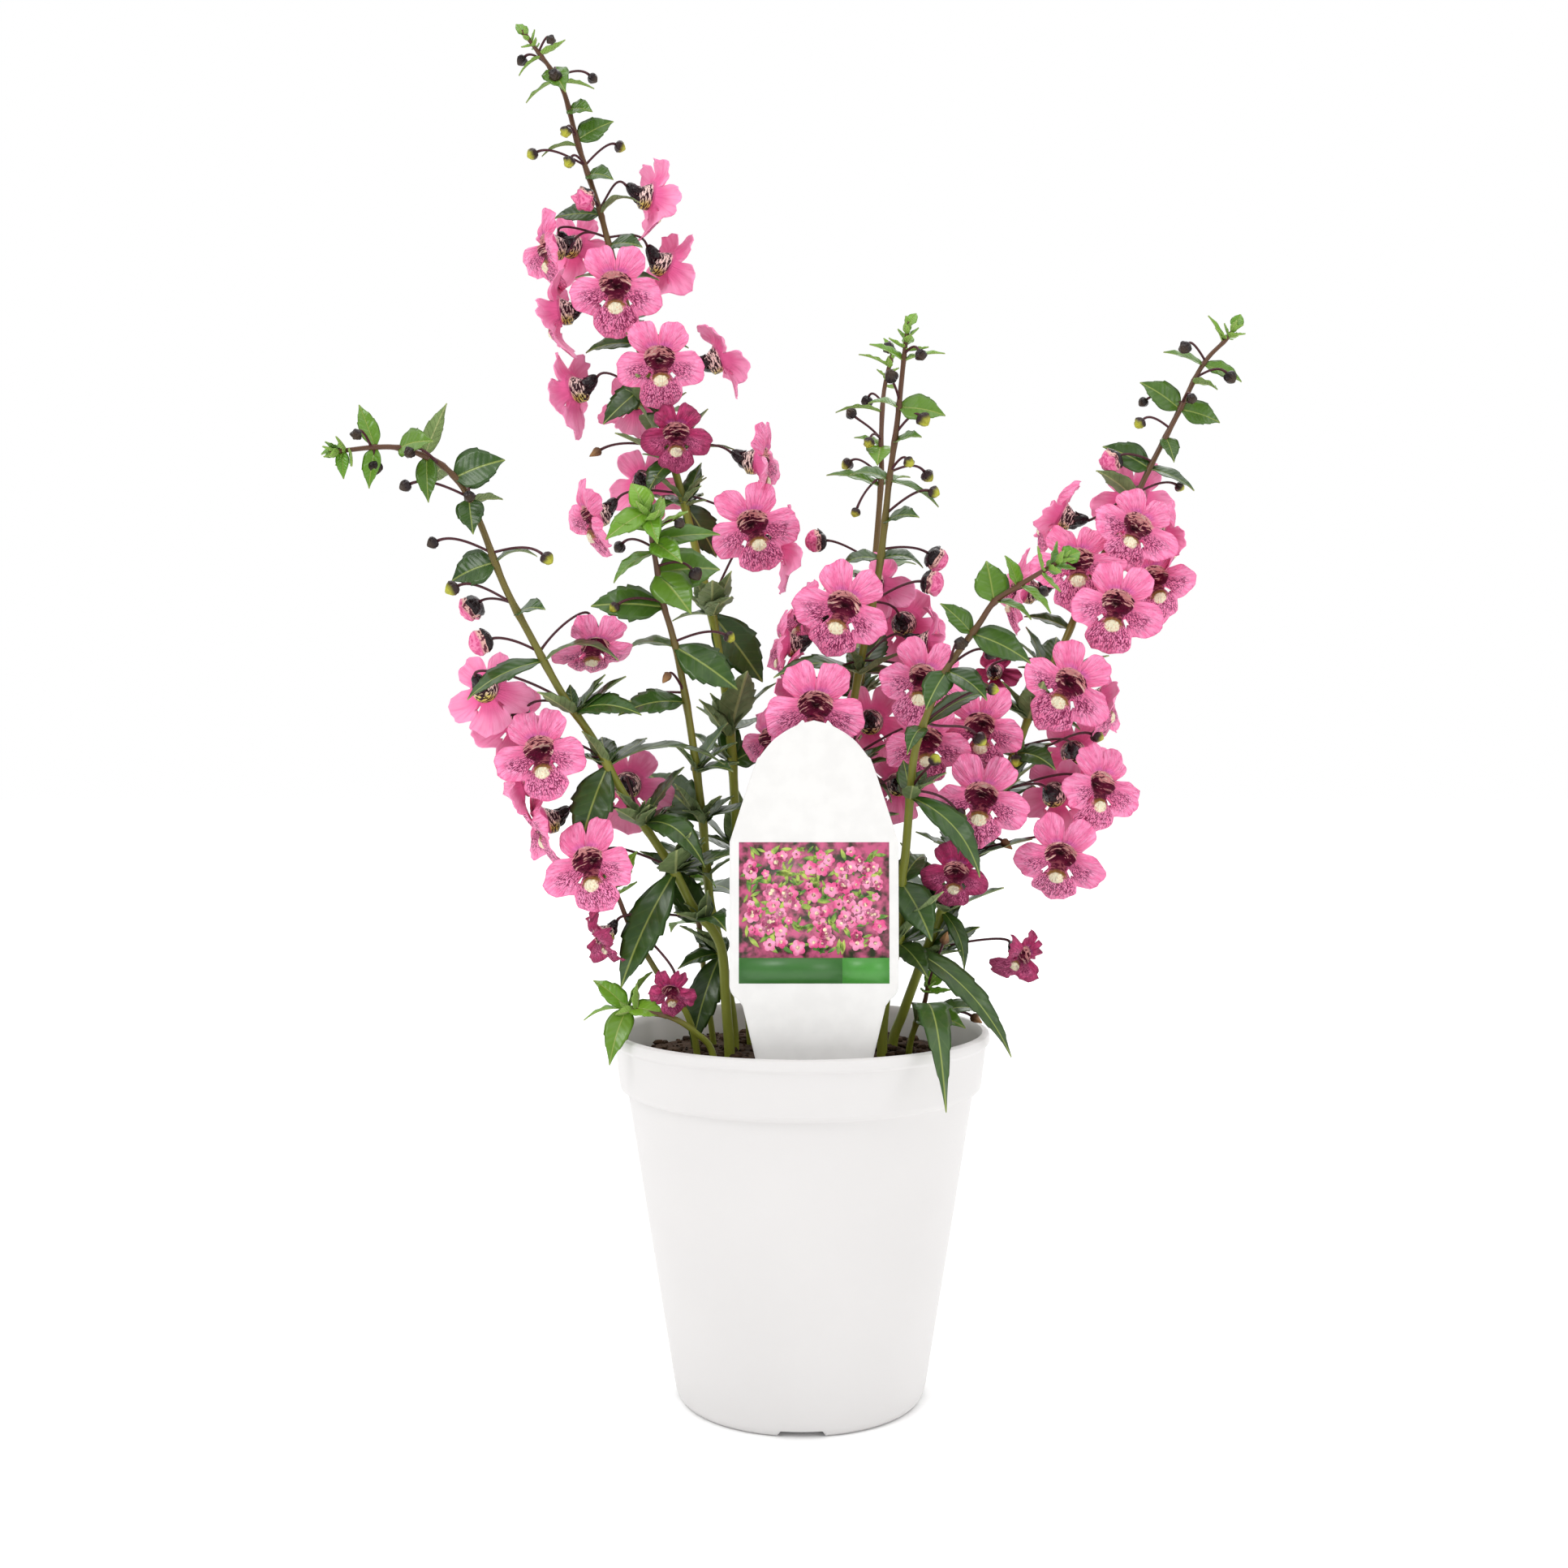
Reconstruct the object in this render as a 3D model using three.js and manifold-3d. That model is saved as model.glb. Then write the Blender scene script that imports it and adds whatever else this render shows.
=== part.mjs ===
import * as THREE from 'three';
import Module from 'manifold-3d';

const wasm = await Module();
wasm.setup();

// All sizes in millimetres, +Z up, the camera side is -Y, the pot axis is X = Y = 0.

// Pot
const RIM_RADIUS = 54;
const POT_HEIGHT = 105.1;
const STEP_HEIGHT = 88;
const STEP_RADIUS = 49.45;
const BASE_RADIUS = 33.2;
const FOOT_HEIGHT = 1.8;
const POT_SIDES = 24;
const NOTCH_WIDTH = 12.7;
const DRAIN_RADIUS = 4;
const DRAIN_CIRCLE = 20;

// Potting soil
const SOIL_TOP = 97;
const SOIL_RADIUS = 49;
const SOIL_SIDES = 16;
const SOIL_SEED = 4127;
const SOIL_LEVELS = [
  [32.9, 3.8, 0], [34.1, 5.4, 0], [47.2, STEP_HEIGHT, 0], [SOIL_RADIUS, 91.5, 0], [SOIL_RADIUS, 96, 2.4],
  [41, SOIL_TOP, 2.8], [27, SOIL_TOP + 1.2, 2.8], [13, SOIL_TOP + 0.6, 2.8],
];
const HOLE_CLEARANCE = 0.9;
const HOLE_LENGTH = 40;
const HOLE_SIDES = 6;

// Plant tag
const TAG_THICKNESS = 0.8;
const TAG_CENTRE_X = 3.3;
const TAG_FOOT = new THREE.Vector3(TAG_CENTRE_X, -40.2, 84);
const TAG_LEAN = 0.069;
const TAG_HEIGHT = 109;
const TAG_HALF_WIDTH = 22.5;
const TAG_HALF_WIDTHS = [
  [0, 8], [19, 15.6], [33, 19], [36, TAG_HALF_WIDTH], [76.5, TAG_HALF_WIDTH], [96.5, 16], [99.5, 14.3],
  [104, 10.5], [107.5, 5],
];

// Stems
const STEM_SIDES = 4;
const STEM_BASE_RADIUS = 1.6;
const SHOOT_BASE_RADIUS = 1.1;
const SHOOT_POINTS = 9;
const STEM_TIP_RADIUS = 0.6;
const TIP_MARGIN = 0.15;

// Flower stalks
const STALK_SHIFT = 0.15;
const STALK_STEP = 12;
const STALK_LIFT = 1.5;
const STALK_LEAD = 0.35;
const STALK_SEAT = [0, 1.6, -9.6];
const STALK_ARCH = [0, 5.2, -13.4];
const PEDICEL_RADIUS = 0.5;

// Flower buds: places along the axis and radii of a dark bud, a large pink bud and a dry seed case
const BUD_SHAPES = [
  [[0, 1], [1, 0]],
  [[-1.1, 2.2], [1.1, 2.5], [2.9, 0]],
  [[-0.2, 1], [1.9, 0]],
];
const BUD_SIZES = [1.15, 1, 1.4];
const BUD_SPREADS = [0.45, 0, 0];
const BUD_SEED = 733;

// Leaves
const LEAF_KEEL = 0.6;
const LEAF_LIFT = 0.3;
const LEAF_BOW = 1.6;
const LEAF_HALF_MIN = 0.45;
const SMALL_LEAF = 11;
const LARGE_LEAF = 19;
const LEAF_OUTLINES = {
  small: [[0.42, 1], [0.74, 0.62]],
  medium: [[0.34, 1], [0.62, 0.92], [0.7, 0.6]],
  large: [[0.22, 0.74], [0.46, 1], [0.52, 0.8], [0.7, 0.74], [0.76, 0.5]],
};

// Flowers, drawn for a flower radius of 13.5
const FLOWER_SIZE = 13.5;
const PETAL_RIM = [
  [0, 0.54, -0.3], [8, 0.82, -0.8], [24, 0.93, -1], [44, 0.91, -0.6], [61, 0.77, -0.1], [72, 0.45, 0.2],
  [80, 0.8, 0.9], [101, 1.04, 1.5], [124, 1.03, 1.2], [143, 0.8, 0.3], [152, 1, -0.5], [180, 1.12, -1],
];
const PETAL_WAVE = 0.8;
const PETAL_SEED = 911;
const PETAL_SEED_STEP = 37;
const LOBE_STARTS = [0, 5, 9, 13, 17];
const LOBE_CENTRES = [
  [34, 0.62, 0.4], [106, 0.66, 1.9], [180, 0.7, 1.1], [254, 0.66, 1.9], [326, 0.62, 0.4],
];
const THROAT_ANGLES = [0, 66, 143, 217, 294];
const THROAT_RADII = [0.24, 0.3, 0.22, 0.22, 0.3];
const THROAT_BACK_RADII = [0.36, 0.38, 0.27, 0.27, 0.38];
const THROAT_LIP = 0.5;
const THROAT_BACK = -0.9;
const THROAT_DEPTH = 3.8;
const POUCH_RADIUS = 4.6;
const POUCH_DEPTH = 4.6;
const POUCH_END = 7.4;
const POUCH_SAG = -0.8;
const CALYX_RADIUS = 3.2;
const CALYX_DEPTH = 5.5;
const CALYX_GAP = 0.5;

// Largest change of a surface when the joined solids lose their needless corners
const JOIN_TOLERANCE = 0.2;

// Gaps kept where leaves and flower stalks pass other parts, and the space that each part is taken to fill
const PASSING_GAP = 1;
const STALK_GAP = 0.4;
const STEM_REACH = 1.4;
const LEAF_REACH = 0.8;
const PETAL_REACH = 1.5;
const POUCH_REACH = 5;
const CALYX_REACH = 2.6;
const SOIL_ROUGHNESS = 2.2;

// How the photograph sees the plant: focal length and middle in pixels, the eye's place and its downward tilt
const PHOTO_FOCAL = 2150.6;
const PHOTO_MIDDLE = 966;
const EYE = new THREE.Vector3(-4.7, -500, 184.6);
const EYE_TILT = 0.019;

// Steps that places and leaf runs are rounded to, and the height of the roots' ends
const PLACE_STEP = 1;
const RUN_STEP = 0.5;
const ROOT_LEVEL = 82;

// Stems, root to tip: a point of the photograph and its depth
const STEM_PICKS = {
  a: [[925, 1300, 12], [921, 1240, 12], [915, 1150, 12], [908, 1000, 12], [898, 883, 13], [877, 758, 16],
    [855, 676, 19], [836, 597, 21], [810, 500, 24], [790, 430, 26], [770, 361, 28], [750, 293, 30],
    [736, 250, 31], [714, 179, 32], [696, 115, 31], [679, 84, 30], [661, 61, 28], [642, 38, 26]],
  b: [[897, 1300, -10], [896, 1239, -10], [889, 1176, -12], [876, 1146, -13], [856, 1120, -14],
    [833, 1076, -16], [810, 1038, -18], [769, 976, -20], [731, 909, -23], [693, 856, -25],
    [656, 788, -27], [622, 722, -29], [593, 650, -30], [574, 608, -31], [550, 577, -32], [525, 562, -33],
    [491, 551, -35], [462, 549, -36], [431, 553, -38], [404, 555, -40]],
  c: [[905, 1300, 3], [899, 1239, 2], [882, 1148, -1], [874, 1106, -2], [865, 1000, -5], [849, 898, -9],
    [836, 819, -12], [826, 775, -15], [816, 745, -17], [806, 689, -20], [800, 655, -23], [795, 625, -26]],
  d1: [[1010, 1300, 8], [1012, 1200, 8], [1022, 1100, 6], [1036, 1000, 4], [1048, 900, 2], [1064, 798, 0],
    [1080, 710, -3], [1090, 635, -5], [1097, 590, -6], [1105, 523, -8], [1110, 480, -9], [1114, 436, -10],
    [1118, 395, -12]],
  d2: [[1018, 1300, 22], [1024, 1200, 22], [1030, 1100, 23], [1038, 1000, 25], [1050, 900, 27],
    [1066, 800, 30], [1078, 690, 33], [1085, 590, 35], [1085, 544, 36], [1091, 480, 38], [1100, 428, 38]],
  e: [[1085, 1300, -8], [1092, 1230, -9], [1110, 1145, -12], [1113, 1087, -15], [1116, 1054, -16],
    [1120, 981, -20], [1128, 926, -23], [1141, 882, -26], [1155, 844, -28], [1169, 819, -30],
    [1203, 770, -34], [1227, 744, -37], [1257, 722, -40], [1281, 707, -43], [1315, 688, -46]],
  f: [[1100, 1287, 8], [1112, 1250, 8], [1135, 1190, 7], [1165, 1115, 6], [1200, 1040, 6], [1228, 975, 7],
    [1253, 922, 8], [1268, 883, 10], [1290, 835, 12], [1316, 781, 15], [1341, 721, 18], [1365, 669, 20],
    [1398, 614, 22], [1420, 573, 23], [1456, 504, 25], [1475, 463, 26], [1491, 439, 27], [1511, 419, 27],
    [1524, 400, 26]],
  g: [[858, 1300, -14], [846, 1247, -16], [813, 1206, -18], [775, 1140, -19], [763, 1111, -19],
    [754, 1088, -19]],
  h: [[880, 1300, -24], [858, 1272, -26], [830, 1256, -27], [800, 1250, -25], [768, 1243, -21]],
  i: [[1120, 1300, -2], [1128, 1262, -4], [1138, 1235, -7], [1146, 1212, -9]],
  j: [[880, 1300, 10], [868, 1200, 10], [858, 1120, 9], [850, 1070, 8]],
};

// Flowers: stem, node, point, depth from the stem, azimuth, elevation, roll, radius and, for some, a move
const BLOOM_PICKS = [
  ['a', 'a01', 808, 243, 3, 115, -5, 0, 13.2, [0, 1, 0]],
  ['a', 'a02', 672, 303, -3, -65, -10, 0, 13],
  ['a', 'a03', 708, 305, 13, 150, -5, 0, 12.5],
  ['a', 'a04', 759, 352, -14, 2, -8, 0, 14],
  ['a', 'a05', 820, 318, 10, 130, -20, -15, 13.5, [1, 0, -3]],
  ['a', 'a02', 683, 385, -2, -95, -5, 0, 13.2],
  ['a', 'a07', 813, 442, -14, 5, -5, -3, 13.5],
  ['a', 'a08', 890, 437, 0, 100, 25, -20, 13],
  ['a', 'a02', 704, 487, 4, -115, -10, 0, 13.5, [0, 0, 1]],
  ['a', 'a10', 775, 503, 13, 180, -30, 0, 12, [1.5, 2, 1]],
  ['a', 'a11', 833, 535, -13, 0, -5, 0, 11.5],
  ['a', 'a12', 940, 560, 0, 80, -5, -15, 13.5, [0, -1, -2]],
  ['a', 'a12', 925, 643, -9, 10, 0, -15, 14],
  ['a', 'a12', 975, 672, 4, 95, -5, -15, 13.5, [-1, -1, 0]],
  ['a', 'a15', 727, 638, -1, -70, -25, 25, 13],
  ['a', 'a16', 795, 595, 14, 170, 0, 0, 12.5],
  ['b', 'b01', 602, 850, 6, 165, -15, 10, 12.5],
  ['b', 'b02', 632, 890, 12, -150, -10, 0, 12.5],
  ['b', 'b02', 666, 923, -9, -15, 0, -9, 13.2],
  ['b', 'b02', 638, 968, -1, -80, -20, 0, 12.5],
  ['b', 'b02', 665, 1012, 0, -75, -15, -20, 12.5],
  ['b', 'b06', 725, 1059, -14, -20, 0, -12, 13.8],
  ['b', 'b07', 741, 1155, -12, -70, -30, -25, 9],
  ['b', 'b08', 775, 965, 16, 180, 0, 0, 13],
  ['b', 'b09', 733, 792, 9, 20, -50, 0, 12],
  ['d1', 'd01', 1040, 747, -13, -5, -5, 19, 14],
  ['d1', 'd03', 985, 765, 5, -70, 10, 0, 12, [1, 2, 2]],
  ['d1', 'd02', 966, 795, -4, -85, 0, 0, 12],
  ['d1', 'd04', 1090, 730, 12, 120, 0, 0, 12, [-1, 0, 2]],
  ['d1', 'd05', 1112, 768, 17, 165, 0, 0, 12.5, [1, -1, 0]],
  ['d1', 'd05', 1152, 790, 4, 80, 0, 0, 12.5],
  ['d1', 'd07', 1135, 833, -13, 15, 0, 14, 13.5],
  ['d1', 'd08', 1005, 868, -23, -3, -5, 2, 14.5],
  ['d1', 'd02', 972, 845, -6, -100, 0, 0, 12],
  ['d1', 'd10', 1072, 892, 12, 170, -5, 0, 12.5],
  ['d1', 'd11', 1140, 912, -2, 5, -10, 0, 13],
  ['d1', 'd10', 1108, 975, 10, 175, 0, 0, 11.5, [0, 0, 2]],
  ['d1', 'd13', 948, 912, -6, -60, 0, 0, 11],
  ['f', 'f01', 1300, 632, 4, -100, 25, 0, 13.5],
  ['f', 'f02', 1396, 612, 13, 175, 10, 0, 13],
  ['f', 'f03', 1402, 646, -12, 5, 10, 27, 13.2],
  ['f', 'f04', 1443, 660, 3, 80, 0, 0, 12],
  ['f', 'f03', 1330, 690, -9, -5, 15, 0, 14, [0, 1, 0]],
  ['f', 'f04', 1412, 692, 4, 10, 0, -15, 13, [1, -3, -5]],
  ['f', 'f07', 1377, 744, -13, -3, -3, 14, 14, [0, -2, 0]],
  ['f', 'f03', 1253, 722, 0, -85, 10, 20, 13.5, [1, 0, 0]],
  ['f', 'f09', 1317, 842, -13, 0, 0, 32, 14],
  ['f', 'f10', 1366, 862, 6, 75, 0, 20, 12.5],
  ['f', 'f11', 1322, 918, 13, 165, -5, 0, 12.5, [0, 1, -2]],
  ['f', 'f12', 1227, 828, 6, 160, 0, 0, 8],
  ['f', 'f13', 1208, 893, -6, -20, -10, 0, 13.5],
  ['f', 'f14', 1209, 979, -15, -8, -5, 6, 14],
  ['f', 'f15', 1354, 966, -6, 30, 0, 9, 13.5],
  ['f', 'f16', 1296, 968, 9, 150, 0, 0, 12.5, [1, -1, -2]],
  ['f', 'f17', 1306, 1052, -10, -10, -10, 11, 13.5],
  ['f', 'f18', 1173, 1074, -22, 0, 0, 8, 10.5, [1, 0, 0]],
  ['f', 'f19', 1262, 1176, -6, 40, -20, 45, 9],
  ['g', 'g01', 829, 1222, -14, -10, -30, 0, 7.5],
];

// Buds: point, depth from the stem, kind (0 dark, 1 large and pink, 2 dry seed case) and, for one, a move
const BUD_PICKS = {
  a: [[680, 48, -4, 0], [642, 76, 4, 0], [685, 94, -6, 0], [731, 97, 4, 0], [697, 163, -6, 0],
    [658, 190, -4, 0], [761, 181, 4, 0], [703, 198, -6, 0], [722, 242, -6, 1], [736, 559, -4, 2]],
  b: [[439, 534, -4, 0], [464, 576, -4, 0], [506, 557, -6, 0], [501, 600, -4, 0], [580, 611, -6, 0],
    [535, 667, -4, 0], [559, 723, -4, 0], [672, 686, -4.4, 0], [586, 748, 4, 1], [599, 789, -4, 1]],
  c: [[835, 643, -4, 0], [762, 674, 4, 0], [856, 707, -4, 0], [758, 746, -4, 0], [898, 784, -4, 0],
    [774, 870, 4, 0], [820, 832, -6, 2]],
  d1: [[1134, 438, -6, 0], [1097, 463, -6, 0], [1139, 514, -4, 0], [1120, 567, -6, 0], [1142, 587, 4, 0],
    [1148, 607, -4, 0], [1151, 686, 4, 1], [1143, 717, -4, 1]],
  d2: [[1094, 429, -6, 0], [1067, 493, 4, 0], [1051, 509, -4, 0], [1072, 545, -6, 0], [1045, 570, 4, 0],
    [1054, 632, -4, 0], [1009, 666, -4, 1]],
  e: [[1185, 793, -6, 0], [1284, 729, 4, 0], [1221, 804, 4, 0], [1222, 849, -4, 0], [1208, 910, 4, 0],
    [1153, 935, -4, 0], [1182, 1003, 4, 0]],
  f: [[1459, 427, -4, 0], [1516, 463, -4, 0], [1409, 494, 4, 0], [1466, 491, -6, 0], [1405, 522, -4, 0],
    [1372, 567, -4, 1], [1454, 599, 4, 0], [1248, 930, -6, 0, [1, 0, -1]], [1351, 905, 4, 0],
    [1238, 1040, -4, 2]],
  i: [[1162, 1156, -6, 2], [1169, 1247, -4, 2], [1203, 1254, 4, 2]],
};

// Leaves: points of base and tip, depth of the tip from the stem, width, bow, facing and, for some, a move
const LEAF_PICKS = {
  a: [[646, 46, 635, 30, 2, 3, 0.6, 60], [664, 66, 697, 48, -2, 2.2, -0.6, -20],
    [666, 67, 637, 91, -2, 2.2, 1, 0], [679, 84, 698, 112, -9, 6.5, 1.5, 70],
    [686, 98, 648, 127, 1, 3.4, 1, 20], [688, 98, 733, 106, 1, 2.2, 1, 0],
    [701, 136, 731, 139, -4, 6, 1.2, 60], [713, 174, 757, 151, 1, 6.6, 1, 70],
    [714, 176, 667, 190, -1, 2.6, 2, 5], [725, 216, 756, 222, -5, 6, 1.5, 60],
    [740, 261, 682, 266, 0, 6.5, 1.5, 55], [740, 261, 799, 253, 2, 4.5, 4, 10],
    [752, 300, 792, 302, -7, 7, 1.5, 50], [767, 350, 712, 342, 4, 6, 2, 20],
    [767, 350, 815, 345, 3, 6.5, 2, 30], [780, 392, 772, 398, -11, 7, 2, 50],
    [780, 392, 792, 384, 12, 7, 2, 0], [788, 422, 722, 432, 2, 6.5, 2, 40],
    [788, 422, 850, 426, 4, 6.5, 2, 30], [802, 470, 745, 520, -4, 7, 1.5, 60],
    [812, 515, 790, 520, 14, 8, 2, 10, [4, -5, -6.5]], [825, 565, 797, 606, -4, 6.5, 2, 30],
    [825, 565, 905, 550, 3, 3.6, 3, 0], [844, 623, 804, 640, -4, 5, 2.5, 20],
    [844, 623, 882, 690, 6, 8, 2, 60], [877, 760, 828, 767, 4, 3.4, 1.5, 10],
    [877, 760, 941, 844, 3, 10, 2, 65], [900, 911, 958, 847, 2, 5, 2, 0],
    [903, 945, 939, 919, 4, 9, 2, 40], [909, 1047, 891, 958, 4, 7, 1, -50],
    [912, 1100, 962, 1110, -5, 8, 3, 40], [912, 1100, 860, 1110, 14, 8, 4, 20],
    [917, 1175, 948, 1225, 10, 7, 3, 30]],
  b: [[413, 557, 393, 556, 0, 3, 0.5, 40], [420, 557, 421, 589, -1, 3, 0.6, 50],
    [462, 549, 442, 497, 1, 4.2, 0.8, 40], [463, 552, 456, 599, -1, 4, 1, 50],
    [492, 551, 534, 543, -5, 7, 1.5, 65], [522, 561, 550, 497, 3, 4, 0.8, -40],
    [524, 562, 525, 618, -3, 4.6, 1.2, 60], [546, 575, 522, 600, 6, 6, 1, -30],
    [562, 590, 623, 569, 1, 9.5, 1.5, 70], [579, 617, 584, 660, -5, 6, 1, 50],
    [580, 618, 619, 614, 4, 3.6, 1, -30], [610, 690, 556, 714, 1, 9, 1.5, 60],
    [611, 692, 662, 684, 2, 5, 3, 10], [640, 755, 673, 750, -6, 7, 1.5, 40],
    [672, 818, 766, 798, 1, 7, 6, 10], [672, 818, 577, 866, -2, 7, 3, 30],
    [708, 876, 782, 913, -5, 7, 4, 40], [752, 944, 895, 943, 4, 6, 7, 10],
    [750, 945, 721, 1046, -5, 9, 3, 50], [794, 1012, 870, 1066, -8, 7, 9, 40],
    [834, 1078, 767, 1220, -6, 8.5, 5, 50], [834, 1078, 880, 1090, 10, 7, 3, 20],
    [870, 1140, 905, 1150, -12, 7, 4, 40]],
  c: [[795, 627, 775, 595, 2, 6, 1, 50], [796, 632, 745, 667, -3, 6, 1.5, 60],
    [796, 634, 809, 669, -5, 5, 1.2, 60], [803, 678, 754, 715, -2, 6, 2, 20],
    [801, 665, 838, 691, -6, 6, 1.2, 60], [801, 665, 886, 656, 1, 6, 1.5, 50],
    [809, 708, 850, 758, -6, 9, 1.5, 60], [809, 708, 886, 703, 4, 11, 2, 60],
    [817, 749, 734, 781, -3, 9, 2, 60], [832, 798, 908, 850, -4, 9, 2, 60],
    [832, 797, 764, 815, 1, 6, 3, 20], [844, 864, 771, 944, -6, 9, 3, 40],
    [857, 950, 925, 950, -3, 7, 2, 20], [866, 1010, 792, 931, 6, 10, 2, 60, [0, 4, 0]],
    [872, 1075, 800, 1100, 6, 7, 3, 20], [886, 1177, 835, 1195, -6, 5, 2, 30],
    [887, 1180, 862, 1298, -9, 7, 6, 50]],
  d1: [[1118, 400, 1127, 384, 3, 3, 0.5, 40], [1114, 444, 1072, 424, 0, 3.6, 0.8, 30],
    [1114, 446, 1164, 438, 0, 3, 1, 20], [1108, 503, 1069, 498, 1, 5, 1.5, 20],
    [1108, 503, 1165, 512, -1, 7.5, 1.5, 60], [1101, 544, 1136, 537, -6, 5, 1.2, 40],
    [1097, 589, 1049, 581, 2, 5.6, 2, 30], [1097, 590, 1158, 623, -1, 4, 2, 20],
    [1089, 643, 1131, 637, -8, 7, 2, 40], [1082, 690, 1030, 705, 3, 6, 3, 30],
    [1082, 690, 1135, 700, 3, 6, 3, 30], [1072, 755, 1045, 742, 11, 7, 2, 10],
    [1060, 826, 905, 818, -2, 7, 5, 30, [2, -3, -3.5]], [1060, 826, 1140, 850, 8, 7, 4, 20],
    [1042, 950, 975, 925, 8, 8, 4, 20], [1042, 950, 1105, 975, 6, 8, 4, 20],
    [1034, 1020, 1030, 1010, 24, 8, 4, 10, [-5, -6, 0]], [1020, 1120, 1085, 1130, 9, 8, 4, 20]],
  d2: [[1099, 432, 1090, 410, 1, 3, 0.5, 20], [1098, 449, 1059, 433, -1, 3.2, 0.8, 10],
    [1088, 508, 1031, 508, 0, 3.2, 2, 0], [1085, 549, 1053, 537, 4, 4, 1, 20],
    [1085, 550, 1080, 572, -8, 7, 1.5, 20], [1084, 604, 1017, 590, 0, 5, 2, 30],
    [1084, 604, 1120, 592, 7, 4, 1.5, 10], [1076, 712, 1015, 725, 5, 6, 3, 20],
    [1076, 712, 1128, 695, 7, 6, 3, 20], [1068, 785, 1055, 795, 14, 8, 3, 10],
    [1058, 860, 990, 860, 7, 8, 4, 20], [1045, 945, 1050, 940, 20, 8, 4, 10],
    [1026, 1130, 1010, 1120, 22, 8, 4, 10]],
  e: [[1315, 688, 1335, 680, 1, 5, 0.8, 60], [1258, 722, 1241, 684, 0, 3.8, 0.8, 30],
    [1259, 722, 1296, 757, -1, 3.8, 1, 20], [1228, 743, 1218, 693, 1, 7.5, 0.8, 60],
    [1229, 743, 1271, 766, -2, 4, 1.5, 20], [1197, 778, 1159, 741, 0, 5.5, 1, 50],
    [1197, 778, 1269, 816, -1, 8, 2, 55], [1165, 825, 1216, 861, -4, 8, 2, 30],
    [1165, 825, 1139, 872, -5, 6.5, 1.5, 40], [1136, 896, 1225, 868, 4, 5.5, 3, 30],
    [1136, 896, 1092, 935, -2, 5, 3, 30], [1120, 984, 1206, 1083, -3, 7, 8, 40],
    [1113, 1087, 1132, 1168, -6, 8.5, 3, 55], [1113, 1087, 1148, 1040, 8, 7, 2, 20],
    [1106, 1160, 1247, 1303, -8, 6, 10, 40], [1106, 1160, 1143, 1205, -12, 7, 2, 20]],
  f: [[1522, 402, 1530, 384, 1, 3.4, 0.5, 50], [1508, 421, 1491, 389, 0, 2.4, 0.6, 20],
    [1484, 448, 1436, 431, 0, 4.4, 1, 30], [1484, 448, 1531, 470, 0, 5.4, 1.2, 50],
    [1470, 471, 1502, 479, -6, 5, 1.2, -20], [1455, 505, 1407, 473, 0, 7.8, 1.2, 60],
    [1455, 506, 1504, 522, 0, 7.4, 1.2, 60], [1438, 537, 1450, 568, -7, 4.5, 1, 30],
    [1418, 577, 1361, 549, 0, 8, 1.5, 60], [1419, 576, 1474, 602, 0, 6, 1.5, 30],
    [1398, 614, 1350, 580, -5, 6, 1.5, -20], [1344, 715, 1395, 732, 5, 7, 2, 30],
    [1318, 777, 1265, 750, 4, 5, 1.5, 30], [1291, 832, 1247, 858, 5, 7, 1.5, 30],
    [1266, 887, 1192, 884, -2, 7, 2.5, 20], [1266, 887, 1330, 900, 4, 8, 3, 30],
    [1250, 930, 1300, 950, -9, 8, 3, 40], [1222, 987, 1288, 985, 6, 8, 3, 20],
    [1190, 1060, 1185, 1050, 18, 8, 3, 10], [1162, 1120, 1189, 1194, -4, 4, 6, 30],
    [1137, 1185, 1190, 1212, 12, 8, 4, 20]],
  g: [[755, 1092, 762, 1040, 1, 4, 1, 40, [-3, -4, -3.5]], [755, 1092, 735, 1062, 2, 4, 1, 30],
    [755, 1092, 783, 1047, -2, 5, 1, 50], [775, 1135, 810, 1108, 3, 5, 2, 40, [0, 1, -4]]],
  h: [[768, 1243, 727, 1209, 2, 5, 1.5, 40], [770, 1243, 796, 1192, 3, 6, 1, -30],
    [768, 1243, 745, 1313, -9, 6, 4, 50], [775, 1245, 822, 1257, -4, 6, 2, 30],
    [768, 1243, 714, 1257, 0, 2.6, 2, 0]],
  i: [[1128, 1262, 1123, 1371, -54, 7, 20, 0], [1145, 1213, 1170, 1190, 4, 5, 1.5, 30],
    [1130, 1255, 1188, 1268, -12, 8, 3, 40], [1128, 1260, 1222, 1250, 4, 6, 4, 20]],
  j: [[850, 1071, 872, 1048, 4, 5, 1, 30], [851, 1080, 815, 1085, -3, 5, 2, 30],
    [851, 1080, 882, 1092, 4, 5, 2, 30], [860, 1140, 825, 1150, 12, 7, 3, 20]],
};

// Places of the plant, worked out from points of the photograph

// A photographed point in millimetres, at its depth from the pot's axis
function seenAt(x, y, depth) {
  const across = (x - PHOTO_MIDDLE) / PHOTO_FOCAL;
  const up = (PHOTO_MIDDLE - y) / PHOTO_FOCAL;
  const ahead = Math.cos(EYE_TILT) + up * Math.sin(EYE_TILT);
  const climb = up * Math.cos(EYE_TILT) - Math.sin(EYE_TILT);
  const reach = (depth - EYE.y) / ahead;
  return new THREE.Vector3(EYE.x + across * reach, depth, EYE.z + climb * reach);
}

function rounded(place, step, move = [0, 0, 0]) {
  return place.toArray().map((v, i) => Math.round(v / step) * step + move[i]);
}

// Depth of a stem where it is seen at a height of the photograph
function stemDepth(key, y) {
  const picks = STEM_PICKS[key];
  const i = picks.findIndex((a, j) => j + 1 < picks.length && (picks[j + 1][1] - y) * (a[1] - y) <= 0);
  if (i < 0) return picks[picks.length - 1][2];
  const [, low, from] = picks[i];
  const [, high, to] = picks[i + 1];
  return from + ((y - low) / (high - low)) * (to - from);
}

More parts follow.
